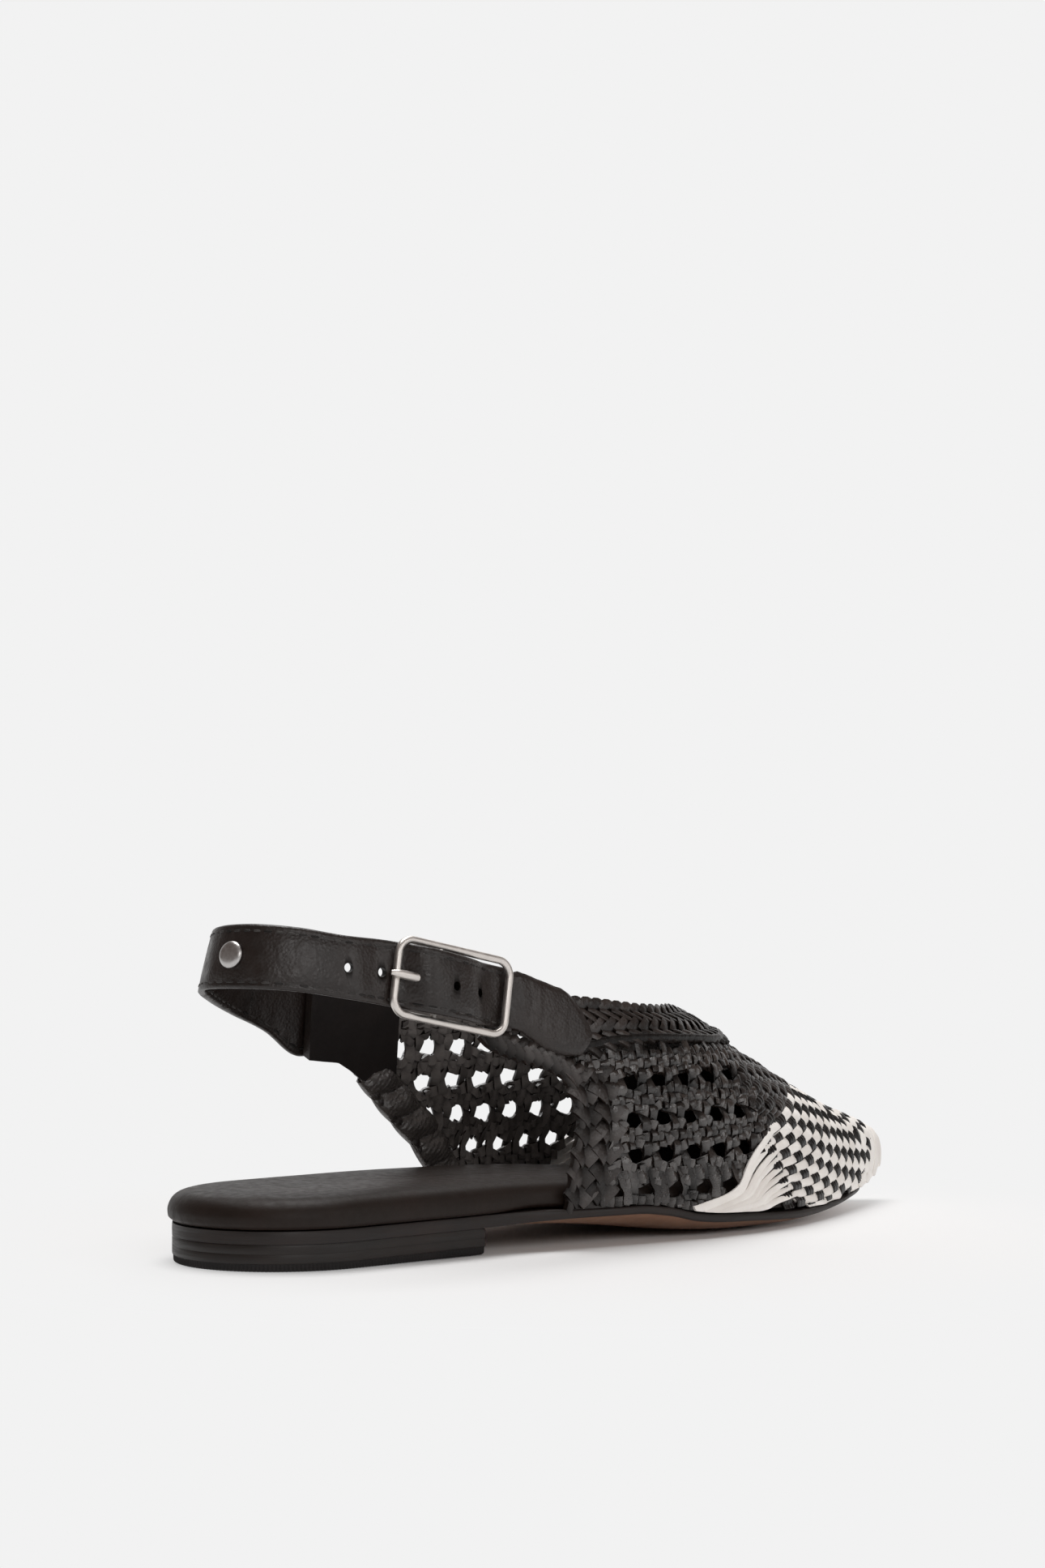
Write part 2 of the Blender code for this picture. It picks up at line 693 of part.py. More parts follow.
def side_patch(name, side, rows, inner, outer, material):
    """Plate on the upper's side. A row is a list of (y, z) places."""
    bm = bmesh.new()
    faces = []
    for inset in (outer, inner):
        faces.append([[bm.verts.new(wall_at(y, z, side, inset)) for y, z in row] for row in rows])
    shell(bm, *faces)
    return add(name, bm, material)


def make_plait(side, name, material):
    """Plait along a wing's rear edge, standing over the wall by its own thickness."""
    low, high = PLAIT_LOW, PLAIT_HIGH[side]
    rows = []
    for k in range(PLAIT_ROWS + 1):
        z = low + (high - low) * k / PLAIT_ROWS
        start = REAR[side](z) + GAP
        rows.append([(start + PLAIT_WIDTH * t, z) for t in (0.0, 0.25, 0.5, 0.75, 1.0)])
    return side_patch(name, side, rows, -RELIEF - GAP, -RELIEF - GAP - PLAIT, material)


# Strap and buckle

def smooth_path(ts, values):
    """Rounded curve through the rows of a strap's path."""
    ts = np.asarray(ts, float)
    values = np.asarray(values, float)
    slope = np.gradient(values, ts)

    def value(t):
        t = min(max(t, 0.0), 1.0)
        k = min(int(np.searchsorted(ts, t, side="right")) - 1, len(ts) - 2)
        step = ts[k + 1] - ts[k]
        s = (t - ts[k]) / step
        start = values[k] * (1 + 2 * s) * (1 - s) ** 2 + values[k + 1] * s * s * (3 - 2 * s)
        return start + step * s * (1 - s) * (slope[k] * (1 - s) - slope[k + 1] * s)

    return value


def strap_tracks():
    """Curves of the strap's columns over its share of length."""
    plan = np.array([row[:2] for row in STRAP_PATH], float)
    travel = np.concatenate([[0], np.cumsum(np.hypot(*np.diff(plan, axis=0).T))])
    shares = travel / travel[-1]
    tracks = zip(STRAP_COLUMNS, zip(*STRAP_PATH))
    return {name: smooth_path(shares, values) for name, values in tracks}


def strap_frame(share):
    """Middle, outward direction, height and lean of the strap at a share of its length."""
    step = 1e-3
    ahead = min(share + step, 1.0)
    behind = max(share - step, 0.0)
    along = Vector((TRACK["x"](ahead) - TRACK["x"](behind), TRACK["y"](ahead) - TRACK["y"](behind), 0))
    along.normalize()
    out = Vector((along.y, -along.x, 0))
    low, high = TRACK["low"](share), TRACK["high"](share)
    middle = Vector((TRACK["x"](share), TRACK["y"](share), (low + high) / 2))
    return middle, out, (high - low) / 2, TRACK["lean"](share)


def strap_share(y):
    """Share of the length where the strap's outer side passes a place along the foot."""
    low, high = OUTER_SHARE, 1.0
    for _ in range(40):
        middle = (low + high) / 2
        if TRACK["y"](middle) < y:
            low = middle
        else:
            high = middle
    return low


def strap_point(share, up, offset):
    """Point on the strap: up runs from -1 at its lower edge to 1 at its upper edge."""
    middle, out, half, lean = strap_frame(share)
    return middle + out * (offset - up * lean) + Vector((0, 0, up * half))


def make_strap(material):
    bm = bmesh.new()
    faces = ([], [])
    for k in range(STRAP_ROWS + 1):
        share = k / STRAP_ROWS
        ride = THREADED(TRACK["y"](share)) if share > OUTER_SHARE else 0.0
        for face, row in zip((STRAP / 2, -STRAP / 2), faces):
            row.append([bm.verts.new(strap_point(share, up, ride + face)) for up in (-1.0, 1.0)])
    shell(bm, *faces)
    piece = add("sling_strap", bm, material)
    cut(piece, STRAP_PUNCH)
    cut(piece, prong_wire("prong_room", PRONG + PRONG_ROOM))
    return piece


def strap_punch():
    """Pegs through the strap at its adjusting holes."""
    bm = bmesh.new()
    for y in STRAP_HOLES:
        middle, out = strap_frame(strap_share(y))[:2]
        rows = []
        for depth in (-STRAP, STRAP):
            point = middle + out * (THREADED(y) + depth)
            row = []
            for k in range(PUNCH_SIDES):
                angle = 2 * pi * k / PUNCH_SIDES
                spoke = Vector((0, cos(angle), sin(angle))) * STRAP_HOLE / 2
                row.append(bm.verts.new(point + spoke))
            rows.append(row)
        quads(bm, rows, closed=True)
        for row in rows:
            bm.faces.new(row)
    return add("strap_punch", bm, group=CUTTERS)


def buckle_axes():
    """Origin at the rear bar, then directions along, across and out of the buckle."""
    back = strap_frame(strap_share(BUCKLE_BACK))
    front = strap_frame(strap_share(STRAP_PATH[-2][1]))
    along = (front[0] - back[0]).normalized()
    out = (back[1] + front[1]).normalized()
    out = (out - along * out.dot(along)).normalized()
    across = out.cross(along)
    if across.z < 0:
        across.negate()
    lean = back[3] / back[2]
    across = (across - out * lean).normalized()
    out = (out + across * lean).normalized()
    return back[0], along, across, out, (BUCKLE_FRONT - BUCKLE_BACK) / along.y


def buckle_point(a, w, n):
    origin, along, across, out, _ = BUCKLE
    return origin + along * a + across * w + out * n


def wire(name, points, diameter, closed=False):
    """Round wire through points, as a closed mesh in millimetres."""
    curve = bpy.data.curves.new(name, "CURVE")
    curve.dimensions = "3D"
    curve.bevel_depth = diameter / 2 * MM
    curve.bevel_resolution = 2
    curve.use_fill_caps = True
    spline = curve.splines.new("POLY")
    spline.points.add(len(points) - 1)
    for point, place in zip(spline.points, points):
        point.co = (*(place * MM), 1.0)
    spline.use_cyclic_u = closed
    guide = bpy.data.objects.new(name + "_guide", curve)
    CUTTERS.objects.link(guide)
    bpy.context.view_layer.update()
    evaluated = guide.evaluated_get(bpy.context.evaluated_depsgraph_get())
    mesh = bpy.data.meshes.new_from_object(evaluated)
    bpy.data.objects.remove(guide)
    bm = bmesh.new()
    bm.from_mesh(mesh)
    bpy.data.meshes.remove(mesh)
    bmesh.ops.remove_doubles(bm, verts=bm.verts, dist=1e-6)
    bmesh.ops.scale(bm, vec=(1 / MM, 1 / MM, 1 / MM), verts=bm.verts)
    return bm


def buckle_bar():
    """Place of the middle bar along the buckle."""
    share = (BUCKLE_BAR - BUCKLE_BACK) / (BUCKLE_FRONT - BUCKLE_BACK)
    return share * BUCKLE[4]


def make_buckle(material):
    long = BUCKLE[4]
    half = (BUCKLE_HEIGHT - WIRE) / 2
    bend = BUCKLE_CORNER
    front, top = long - bend, half - bend
    corners = [(front, top), (bend, top), (bend, -top), (front, -top)]
    points = []
    for quarter, (a, w) in enumerate(corners):
        for k in range(5):
            angle = pi / 2 * (quarter + k / 4)
            points.append(buckle_point(a + bend * cos(angle), w + bend * sin(angle), 0))
    piece = add("buckle_frame", wire("buckle_frame", points, WIRE, closed=True), material)
    bar = [buckle_point(buckle_bar(), w, 0) for w in (-half, half)]
    cut(piece, add("middle_bar", wire("middle_bar", bar, WIRE - 2 * GAP), group=CUTTERS), "UNION")
    return piece


def prong_path():
    """Wire that hooks round the middle bar and lies over the rear bar."""
    eye = (WIRE - 2 * GAP) / 2 + GAP + PRONG / 2
    rest = WIRE / 2 + GAP + PRONG / 2
    bar = buckle_bar()
    path = []
    for k in range(8):
        angle = radians(-130 + 220 * k / 7)
        path.append((bar + eye * cos(angle), eye * sin(angle)))
    path += [(bar * share, eye + (rest - eye) * over + PRONG_LIFT) for share, over in PRONG_ARM]
    path += [(a, rest + drop) for a, drop in PRONG_TIP]
    return [buckle_point(a, 0.0, n) for a, n in path]


def prong_wire(name, diameter):
    return add(name, wire(name, prong_path(), diameter), group=CUTTERS)


def make_prong(material):
    return add("buckle_prong", wire("buckle_prong", prong_path(), PRONG), material)


def make_tab(material):
    """Leather tab: sewn on the vamp, narrowed under the strap and folded round the middle bar."""
    bm = bmesh.new()
    outer, inner = [], []
    ups = (-1.0, -0.4, 0.4, 1.0)
    bar = buckle_bar()
    turn = (WIRE - 2 * GAP) / 2 + GAP + TONGUE / 2
    half = TONGUE_WIDTH / 2
    fold = [(bar + a, n) for a, n in TONGUE_UNDER]
    for k in range(7):
        angle = radians(-90 - 180 * k / 6)
        fold.append((bar + turn * cos(angle), turn * sin(angle)))
    fold += [(bar + a, n) for a, n in TONGUE_OVER]
    for k, (a, n) in enumerate(fold):
        before = fold[max(k - 1, 0)]
        after = fold[min(k + 1, len(fold) - 1)]
        size = hypot(after[0] - before[0], after[1] - before[1])
        normal = ((after[1] - before[1]) / size, -(after[0] - before[0]) / size)
        for rows, side in ((outer, -1), (inner, 1)):
            a2 = a + side * TONGUE / 2 * normal[0]
            n2 = n + side * TONGUE / 2 * normal[1]
            rows.append([bm.verts.new(buckle_point(a2, up * half, n2)) for up in ups])
    for t in (0.0, 0.15, 0.35, 0.6, 0.8, 1.0):
        for rows, inset in ((outer, -RELIEF - GAP - TAB_LEATHER), (inner, -RELIEF - GAP)):
            row = []
            for up in ups:
                share = (up + 1) / 2
                front = TAB_NOSE(share)
                y = TAB_START + (front - TAB_START) * t
                z = TAB["low"](y) + (TAB["high"](y) - TAB["low"](y)) * share
                row.append(bm.verts.new(wall_at(y, z, 1, inset)))
            rows.append(row)
    shell(bm, outer, inner)
    piece = add("buckle_tab", bm, material)
    cut(piece, TAB_SLOT)
    return piece


def tab_slot():
    """Slot in the tab's fold, where the prong turns."""
    bm = bmesh.new()
    bar = buckle_bar()
    half = PRONG / 2 + 2 * GAP
    rows = []
    back, front = bar - TONGUE_SLOT, bar + TONGUE_SLOT
    for n in (-TONGUE_SLOT, TONGUE_SLOT):
        corners = ((back, -half), (front, -half), (front, half), (back, half))
        rows.append([bm.verts.new(buckle_point(a, w, n)) for a, w in corners])
    quads(bm, rows, closed=True)
    for row in rows:
        bm.faces.new(row)
    return add("tab_slot", bm, group=CUTTERS)


def make_rivet(material):
    """Domed rivet head, a turned profile on the strap's outer face."""
    share = RIVET_PLACE
    middle, out, half, lean = strap_frame(share)
    base = strap_point(share, RIVET_UP, STRAP / 2 + GAP)
    normal = (out + Vector((0, 0, lean / half))).normalized()
    mesh = bpy.data.meshes.new("strap_rivet")
    points = [(r * RIVET_RADIUS * MM, 0, z * MM) for r, z in RIVET_PROFILE]
    mesh.from_pydata(points, [(k, k + 1) for k in range(len(points) - 1)], [])
    mesh.materials.append(material)
    piece = bpy.data.objects.new("strap_rivet", mesh)
    PARTS.objects.link(piece)
    screw = piece.modifiers.new("turned", "SCREW")
    screw.steps = 20
    screw.render_steps = 20
    screw.use_merge_vertices = True
    screw.merge_threshold = 1e-6
    piece.location = base * MM
    piece.rotation_mode = "QUATERNION"
    piece.rotation_quaternion = normal.to_track_quat("Z", "Y")
    piece.parent = SHOE
    return piece


def centre_frame():
    """Moves the shoe so that the origin is under the middle of its box."""
    bpy.context.view_layer.update()
    graph = bpy.context.evaluated_depsgraph_get()
    corners = []
    for piece in PARTS.objects:
        if piece.type == "MESH":
            solid = piece.evaluated_get(graph)
            corners += [solid.matrix_world @ Vector(corner) for corner in solid.bound_box]
    low = [min(c[k] for c in corners) for k in range(3)]
    high = [max(c[k] for c in corners) for k in range(3)]
    SHOE.location = (-(low[0] + high[0]) / 2, -(low[1] + high[1]) / 2, 0.0)
    bpy.context.view_layer.update()


# The shoe

for old in list(bpy.data.objects):
    bpy.data.objects.remove(old)

PARTS = collection(COLLECTION_NAME)
CUTTERS = collection("cutters")
SHOE = bpy.data.objects.new("shoe_frame", None)
PARTS.objects.link(SHOE)

BLACK_LEATHER = (0.022, 0.020, 0.019)
TRACK = strap_tracks()
THREADED = columns(THREAD_COLUMNS, THREADING)["offset"]
TAB_NOSE = columns(NOSE_COLUMNS, TAB_FRONT)["y"]
BUCKLE = buckle_axes()

COLLAR_FRAME = [(COLLAR_LINE[-1][0], CUT_TOP), (COLLAR_LINE[0][0], CUT_TOP)]
THROAT_SIDE = prism("throat_side", COLLAR_LINE + COLLAR_FRAME, "X", -CUT_SIDE, CUT_SIDE)
THROAT_NOSE = throat_nose()
REAR_CUT = {side: rear_cutter(side) for side in (1, -1)}
HOLES = hole_cutters()
BAND_LOW = {side: band_low(side) for side in (1, -1)}
BAND_FRONT = band_front()
BAND_ENDS = {side: band_end(side) for side in (1, -1)}
STRAP_PUNCH = strap_punch()
TAB_SLOT = tab_slot()

make_outsole(finish("black_edge_leather", (0.030, 0.024, 0.021), 0.5))
HEEL_LEATHER = finish("stacked_heel", (0.020, 0.017, 0.016), 0.45)
HEEL_RUBBER = finish("black_rubber", (0.016, 0.015, 0.015), 0.7)
make_block("heel", TOP_PIECE + GAP, HEEL_TOP, 0.0, HEEL_LEATHER)
make_block("top_piece", 0.0, TOP_PIECE, TOP_PIECE_INSET, HEEL_RUBBER)
make_insole(finish("padded_leather", (0.020, 0.018, 0.017), 0.5))
make_upper(finish("woven_leather", BLACK_LEATHER, 0.5))
make_band(finish("plaited_leather", BLACK_LEATHER, 0.5))
make_plait(1, "rear_plait_outer", finish("outer_plait", BLACK_LEATHER, 0.5))
make_plait(-1, "rear_plait_inner", finish("inner_plait", BLACK_LEATHER, 0.5))
make_strap(finish("strap_leather", BLACK_LEATHER, 0.45))
make_tab(finish("tab_leather", BLACK_LEATHER, 0.5))
make_buckle(finish("polished_steel", (0.80, 0.78, 0.75), 0.15, 1.0))
make_prong(finish("prong_steel", (0.80, 0.78, 0.75), 0.2, 1.0))
make_rivet(finish("satin_steel", (0.50, 0.48, 0.46), 0.35, 1.0))
centre_frame()
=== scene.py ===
# %% [markdown]
# # A woven slingback flat
# One right shoe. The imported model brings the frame: thirteen plain solids, in metres, that carry the sizes. This
# lesson dresses them. Real strips of leather are laid over the same last, one after the other, so that the weave is
# geometry and the light falls through its gaps, as it does on the shoe.

# %% Load the frame
import math

import bmesh
import bpy
import numpy as np
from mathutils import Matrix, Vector


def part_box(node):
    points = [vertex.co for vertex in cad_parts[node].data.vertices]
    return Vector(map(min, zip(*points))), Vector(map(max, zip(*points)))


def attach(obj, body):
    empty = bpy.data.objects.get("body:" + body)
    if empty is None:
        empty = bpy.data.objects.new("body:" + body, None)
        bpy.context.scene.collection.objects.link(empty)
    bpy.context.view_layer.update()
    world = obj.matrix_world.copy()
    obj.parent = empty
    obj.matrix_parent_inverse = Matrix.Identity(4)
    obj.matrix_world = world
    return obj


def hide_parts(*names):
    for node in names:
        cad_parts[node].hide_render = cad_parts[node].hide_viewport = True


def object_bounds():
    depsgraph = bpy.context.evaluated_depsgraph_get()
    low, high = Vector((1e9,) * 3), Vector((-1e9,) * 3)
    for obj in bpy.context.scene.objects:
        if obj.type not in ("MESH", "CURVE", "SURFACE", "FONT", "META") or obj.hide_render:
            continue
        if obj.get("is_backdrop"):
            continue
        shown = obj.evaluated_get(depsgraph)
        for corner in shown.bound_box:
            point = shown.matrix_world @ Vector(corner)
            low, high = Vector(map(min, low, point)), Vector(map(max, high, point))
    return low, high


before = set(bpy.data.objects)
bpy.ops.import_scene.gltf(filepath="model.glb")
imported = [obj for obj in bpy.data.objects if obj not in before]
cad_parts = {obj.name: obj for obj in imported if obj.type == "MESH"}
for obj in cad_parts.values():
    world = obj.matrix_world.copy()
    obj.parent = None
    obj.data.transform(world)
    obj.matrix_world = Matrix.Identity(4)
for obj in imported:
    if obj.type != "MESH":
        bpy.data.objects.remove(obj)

CAD_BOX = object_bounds()
MM = 0.001
CHANCE = np.random.default_rng(11)
print("solids in the frame:", sorted(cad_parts))

# %% [markdown]
# All numbers below are millimetres on the last: y runs from the back of the heel to the toe, x to the outer side,
# z up from the floor. The heel block tells where that corner lies in the frame.

# %% Place of the last in the frame
heel_low, heel_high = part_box("heel")
SHIFT = np.array([(heel_low.x + heel_high.x) / 2, heel_low.y, 0.0]) / MM


def in_frame(points):
    """Last millimetres to frame metres."""
    return (np.asarray(points, float) + SHIFT) * MM


print("heel corner in the frame, mm:", SHIFT.round(2))

# %% [markdown]
# The camera stands at the outer rear, nearly level with the floor, with a long lens about a metre away. Its place
# was solved from the photo against the length of the shoe.

# %% Camera
lens = bpy.data.cameras.new("long_lens")
lens.lens = 85
lens.sensor_fit = "VERTICAL"
lens.sensor_height = 36
camera = bpy.data.objects.new("camera", lens)
camera.location = in_frame((797.1, -572.7, 121.7))
camera.rotation_euler = (math.radians(90.354), 0, math.radians(49.196))
bpy.context.scene.collection.objects.link(camera)
bpy.context.scene.camera = camera
print("camera at", [round(v, 3) for v in camera.location])

# %% [markdown]
# Every material starts from sRGB colours, which one function turns to linear light, and one small function adds a
# node with its settings and links.

# %% Colour and node helpers


def linear(code, alpha=1.0):
    """sRGB hex to linear RGBA."""
    parts = [int(code[k:k + 2], 16) / 255 for k in (1, 3, 5)]
    return (*[c / 12.92 if c <= 0.04045 else ((c + 0.055) / 1.055) ** 2.4 for c in parts], alpha)


def node(tree, kind, inputs=None, **settings):
    """Adds a node: settings are its own, inputs are values or the outputs of other nodes."""
    made = tree.nodes.new(kind)
    for name, value in settings.items():
        setattr(made, name, value)
    for name, value in (inputs or {}).items():
        if isinstance(value, bpy.types.NodeSocket):
            tree.links.new(value, made.inputs[name])
        else:
            made.inputs[name].default_value = value
    return made


def finish_of(name):
    """A new material: its tree, its surface shader and the place on the piece in metres."""
    made = bpy.data.materials.new(name)
    made.use_nodes = True
    tree = made.node_tree
    return made, tree, tree.nodes["Principled BSDF"], node(tree, "ShaderNodeTexCoord").outputs["Object"]


print("black ink in linear light:", [round(c, 4) for c in linear("#262322")])

# %% [markdown]
# The studio is one pale sweep: a floor that fades into an even background behind the shoe. A real sweep has no
# horizon, so the floor turns into the colour of the background: from 5 cm out from the middle of the shoe the lit
# paper is mixed with a painted glow of that colour, all glow from 20 cm on, and the glow also lightens the shoe's
# cast shadows on the floor. A wide soft box hangs overhead, and two smaller ones stand at the side and near the
# camera. The room in front is dim, which keeps black leather black.

# %% Floor and light
PAPER = linear("#F2F2F2")
FADE_FROM, FADE_TO = 0.05, 0.20  # metres from the middle of the shoe
FLOOR_HALF, FLOOR_DROP = 6.0, 0.0002
LOOK_WAY = (-0.757, 0.653, 0.0)  # where the camera looks, level
sweep = bpy.data.materials.new("paper_sweep_with_painted_glow")
sweep.use_nodes = True
tree = sweep.node_tree
place = node(tree, "ShaderNodeTexCoord").outputs["Object"]
away = node(tree, "ShaderNodeVectorMath", {0: place}, operation="LENGTH").outputs["Value"]
fade = node(tree, "ShaderNodeMapRange", {"Value": away, "From Min": FADE_FROM, "From Max": FADE_TO},
            interpolation_type="SMOOTHSTEP")
fibre = node(tree, "ShaderNodeTexNoise", {"Vector": place, "Scale": 1 / (1.5 * MM), "Detail": 3.0}).outputs["Fac"]
tint = node(tree, "ShaderNodeMix", {0: fibre, 6: linear("#F0F0F0"), 7: linear("#F3F3F3")}, data_type="RGBA").outputs[2]
paper = node(tree, "ShaderNodeBsdfDiffuse", {"Color": tint}).outputs[0]
# Painted glow: an even emission in the background colour, which also washes out the shoe's cast shadows near it.
painted_glow = node(tree, "ShaderNodeEmission", {"Color": PAPER, "Strength": 1.0}).outputs[0]
both = node(tree, "ShaderNodeMixShader", {0: fade.outputs[0], 1: paper, 2: painted_glow}).outputs[0]
tree.links.new(both, tree.nodes["Material Output"].inputs["Surface"])

bm = bmesh.new()
bmesh.ops.create_grid(bm, x_segments=24, y_segments=24, size=FLOOR_HALF)
floor_mesh = bpy.data.meshes.new("floor")
bm.to_mesh(floor_mesh)
bm.free()
floor_mesh.materials.append(sweep)
floor = bpy.data.objects.new("floor", floor_mesh)
floor.location = (0, 0, -FLOOR_DROP)
bpy.context.scene.collection.objects.link(floor)
floor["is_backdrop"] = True

world = bpy.data.worlds.new("studio")
world.use_nodes = True
tree = world.node_tree
way = node(tree, "ShaderNodeTexCoord").outputs["Generated"]
ahead = node(tree, "ShaderNodeVectorMath", {0: way, 1: LOOK_WAY}, operation="DOT_PRODUCT").outputs["Value"]
behind = node(tree, "ShaderNodeMapRange", {"Value": ahead, "From Min": 0.45, "From Max": 0.93},
              interpolation_type="SMOOTHSTEP").outputs[0]
room = node(tree, "ShaderNodeMix", {0: behind, 6: linear("#6E6662"), 7: PAPER}, data_type="RGBA").outputs[2]
tree.links.new(room, tree.nodes["Background"].inputs["Color"])
bpy.context.scene.world = world
bpy.context.scene.view_settings.view_transform = "Standard"


def soft_box(name, place, target, size, power):
    """A rectangular soft box that is aimed at a target."""
    light = bpy.data.lights.new(name, "AREA")
    light.shape = "RECTANGLE"
    light.size, light.size_y = size
    light.energy = power
    lamp = bpy.data.objects.new(name, light)
    lamp.location = place
    aim = Vector(target) - lamp.location
    lamp.rotation_euler = aim.to_track_quat("-Z", "Y").to_euler()
    bpy.context.scene.collection.objects.link(lamp)


soft_box("overhead_box", (-0.25, 0.1, 1.4), (0, 0, 0), (0.9, 0.9), 16.5)
soft_box("side_box", (1.2, 0.4, 0.45), (0, 0.0, 0.04), (0.9, 0.6), 2.6)
soft_box("front_box", (1.25, -0.68, 0.62), (-0.02, 0.0, 0.04), (0.8, 0.5), 4.0)

# %% [markdown]
# Dressed leather is a skin with a coloured finish: a pebbled grain under a millimetre wide and a soft broken gloss.
# The grain side and the flesh side (the matt suede back) are two materials. Each strip carries a tone of its own, a
# number stored on its points, so that no two strips look alike. The same number carries painted shade and painted
# highlight: the colour is darker and the gloss lower where a strip dips under its neighbours or turns to its edges,
# and paler and glossier where it stands proud.

# %% Leather


def leather(name, dark, light, rough, grain, relief, gloss=0.5, cloud_size=9.0):
    """Finished hide: grain is the pebble width and relief its height, in millimetres.
    The strip tone, which also carries painted shade, mixes the colour and scales the gloss.
    """
    made, tree, surface, place = finish_of(name)
    tone = node(tree, "ShaderNodeAttribute", attribute_name="tone").outputs["Fac"]
    cloud = node(tree, "ShaderNodeTexNoise", {
        "Vector": place, "Scale": 1 / (cloud_size * MM), "Detail": 5.0, "Roughness": 0.6}).outputs["Fac"]
    pebble = node(tree, "ShaderNodeTexVoronoi", {"Vector": place, "Scale": 1 / (grain * MM)}).outputs["Distance"]
    crease = node(tree, "ShaderNodeTexNoise", {
        "Vector": place, "Scale": 1 / (grain * 3.5 * MM), "Detail": 6.0, "Roughness": 0.65}).outputs["Fac"]
    share = node(tree, "ShaderNodeMath", {0: cloud, 1: tone}, operation="MULTIPLY").outputs[0]
    share = node(tree, "ShaderNodeMapRange", {"Value": share, "From Min": 0.05, "From Max": 0.45}).outputs[0]
    tint = node(tree, "ShaderNodeMix", {0: share, 6: linear(dark), 7: linear(light)}, data_type="RGBA").outputs[2]
    sheen = node(tree, "ShaderNodeMapRange", {
        "Value": crease, "From Min": 0.3, "From Max": 0.7, "To Min": rough - 0.09, "To Max": rough + 0.11}).outputs[0]
    height = node(tree, "ShaderNodeMath", {0: pebble, 1: crease}, operation="ADD").outputs[0]
    bump = node(tree, "ShaderNodeBump", {"Height": height, "Strength": 0.55, "Distance": relief * MM}).outputs[0]
    surface.inputs["IOR"].default_value = 1.5
    shine = node(tree, "ShaderNodeMapRange", {
        "Value": tone, "From Min": 0.1, "From Max": 0.9, "To Min": gloss * 0.25, "To Max": gloss * 1.2}).outputs[0]
    for socket, value in (("Base Color", tint), ("Roughness", sheen), ("Normal", bump), ("Specular IOR Level", shine)):
        tree.links.new(value, surface.inputs[socket])
    return made


# Black strips: glazed skin, a low gloss that shows every over and under of the weave.
BLACK_STRIP = leather("glazed_black_strip_leather", "#0B0706", "#271E19", 0.28, 0.7, 0.10, 1.0)
# Plaits: the same skin rubbed with oil, so duller.
PLAIT_STRIP = leather("oiled_black_plait_leather", "#0E0A08", "#291F1A", 0.36, 0.8, 0.12, 0.65)
# Rolled edge: soft glazed black skin, puffed, with wide highlights. Its colour is painted lighter, a dark grey, as
# painted light on its inner face, which lies in shade.
ROLL_SKIN_PAINTED_LIGHTER = leather("glazed_black_rolled_skin_painted_lighter", "#262120", "#524D4A", 0.28, 1.2, 0.22, 1.0)
# White strips: pigmented skin, chalky and warm, with soft grey in the folds.
WHITE_STRIP = leather("pigmented_white_strip_leather", "#E6DFD8", "#FCF8F3", 0.5, 0.6, 0.08, 0.35)
# Flesh side: unfinished suede back, no gloss.
BLACK_FLESH = leather("black_flesh_side_suede", "#494543", "#716C69", 0.85, 0.5, 0.12, 0.2)
WHITE_FLESH = leather("white_flesh_side_suede", "#E0DBD5", "#F6F3EF", 0.85, 0.5, 0.12, 0.2)
# Strap and tab: heavier smooth calf with a satin top coat.
STRAP_CALF = leather("satin_black_strap_calf", "#110C09", "#241A16", 0.38, 0.9, 0.14, 0.6, 14.0)
# Insole: padded glove leather, smooth, broad soft highlights.
INSOLE_GLOVE = leather("smooth_black_insole_leather", "#15100C", "#261C17", 0.50, 0.8, 0.04, 0.26, 22.0)
# Lining: thin matt split leather.
LINING = leather("matt_black_split_lining", "#141010", "#251F1D", 0.6, 0.6, 0.06, 0.3)
print("leathers:", len(bpy.data.materials) - 1)

# %% [markdown]
# The sole is vegetable-tanned leather with an inked edge, the heel a stack of leather lifts painted black, its top
# piece moulded rubber, and the buckle and rivet are nickel-plated, so mirror-like with a slightly warm grey.

# %% Sole, heel and metal finishes


def layered(name, dark, light, rough, layer, relief, gloss=0.4):
    """Painted edge of stacked leather: thin level lines, one layer apart, that waver a little."""
    made, tree, surface, place = finish_of(name)
    waver = node(tree, "ShaderNodeTexNoise", {"Vector": place, "Scale": 1 / (14 * MM), "Detail": 3.0}).outputs["Fac"]
    flat = node(tree, "ShaderNodeMapping", {"Vector": place, "Scale": (0.04, 0.04, 1.0)}).outputs[0]
    lines = node(tree, "ShaderNodeTexNoise", {
        "Vector": flat, "Scale": 1 / (layer * MM), "Detail": 3.0, "Roughness": 0.6}).outputs["Fac"]
    share = node(tree, "ShaderNodeMath", {0: lines, 1: waver}, operation="MULTIPLY").outputs[0]
    share = node(tree, "ShaderNodeMapRange", {"Value": share, "From Min": 0.12, "From Max": 0.42}).outputs[0]
    tint = node(tree, "ShaderNodeMix", {0: share, 6: linear(dark), 7: linear(light)}, data_type="RGBA").outputs[2]
    sheen = node(tree, "ShaderNodeMapRange", {
        "Value": lines, "From Min": 0.3, "From Max": 0.7, "To Min": rough - 0.1, "To Max": rough + 0.12}).outputs[0]
    bump = node(tree, "ShaderNodeBump", {"Height": lines, "Strength": 0.6, "Distance": relief * MM}).outputs[0]
    surface.inputs["Specular IOR Level"].default_value = gloss
    for socket, value in (("Base Color", tint), ("Roughness", sheen), ("Normal", bump)):
        tree.links.new(value, surface.inputs[socket])
    return made


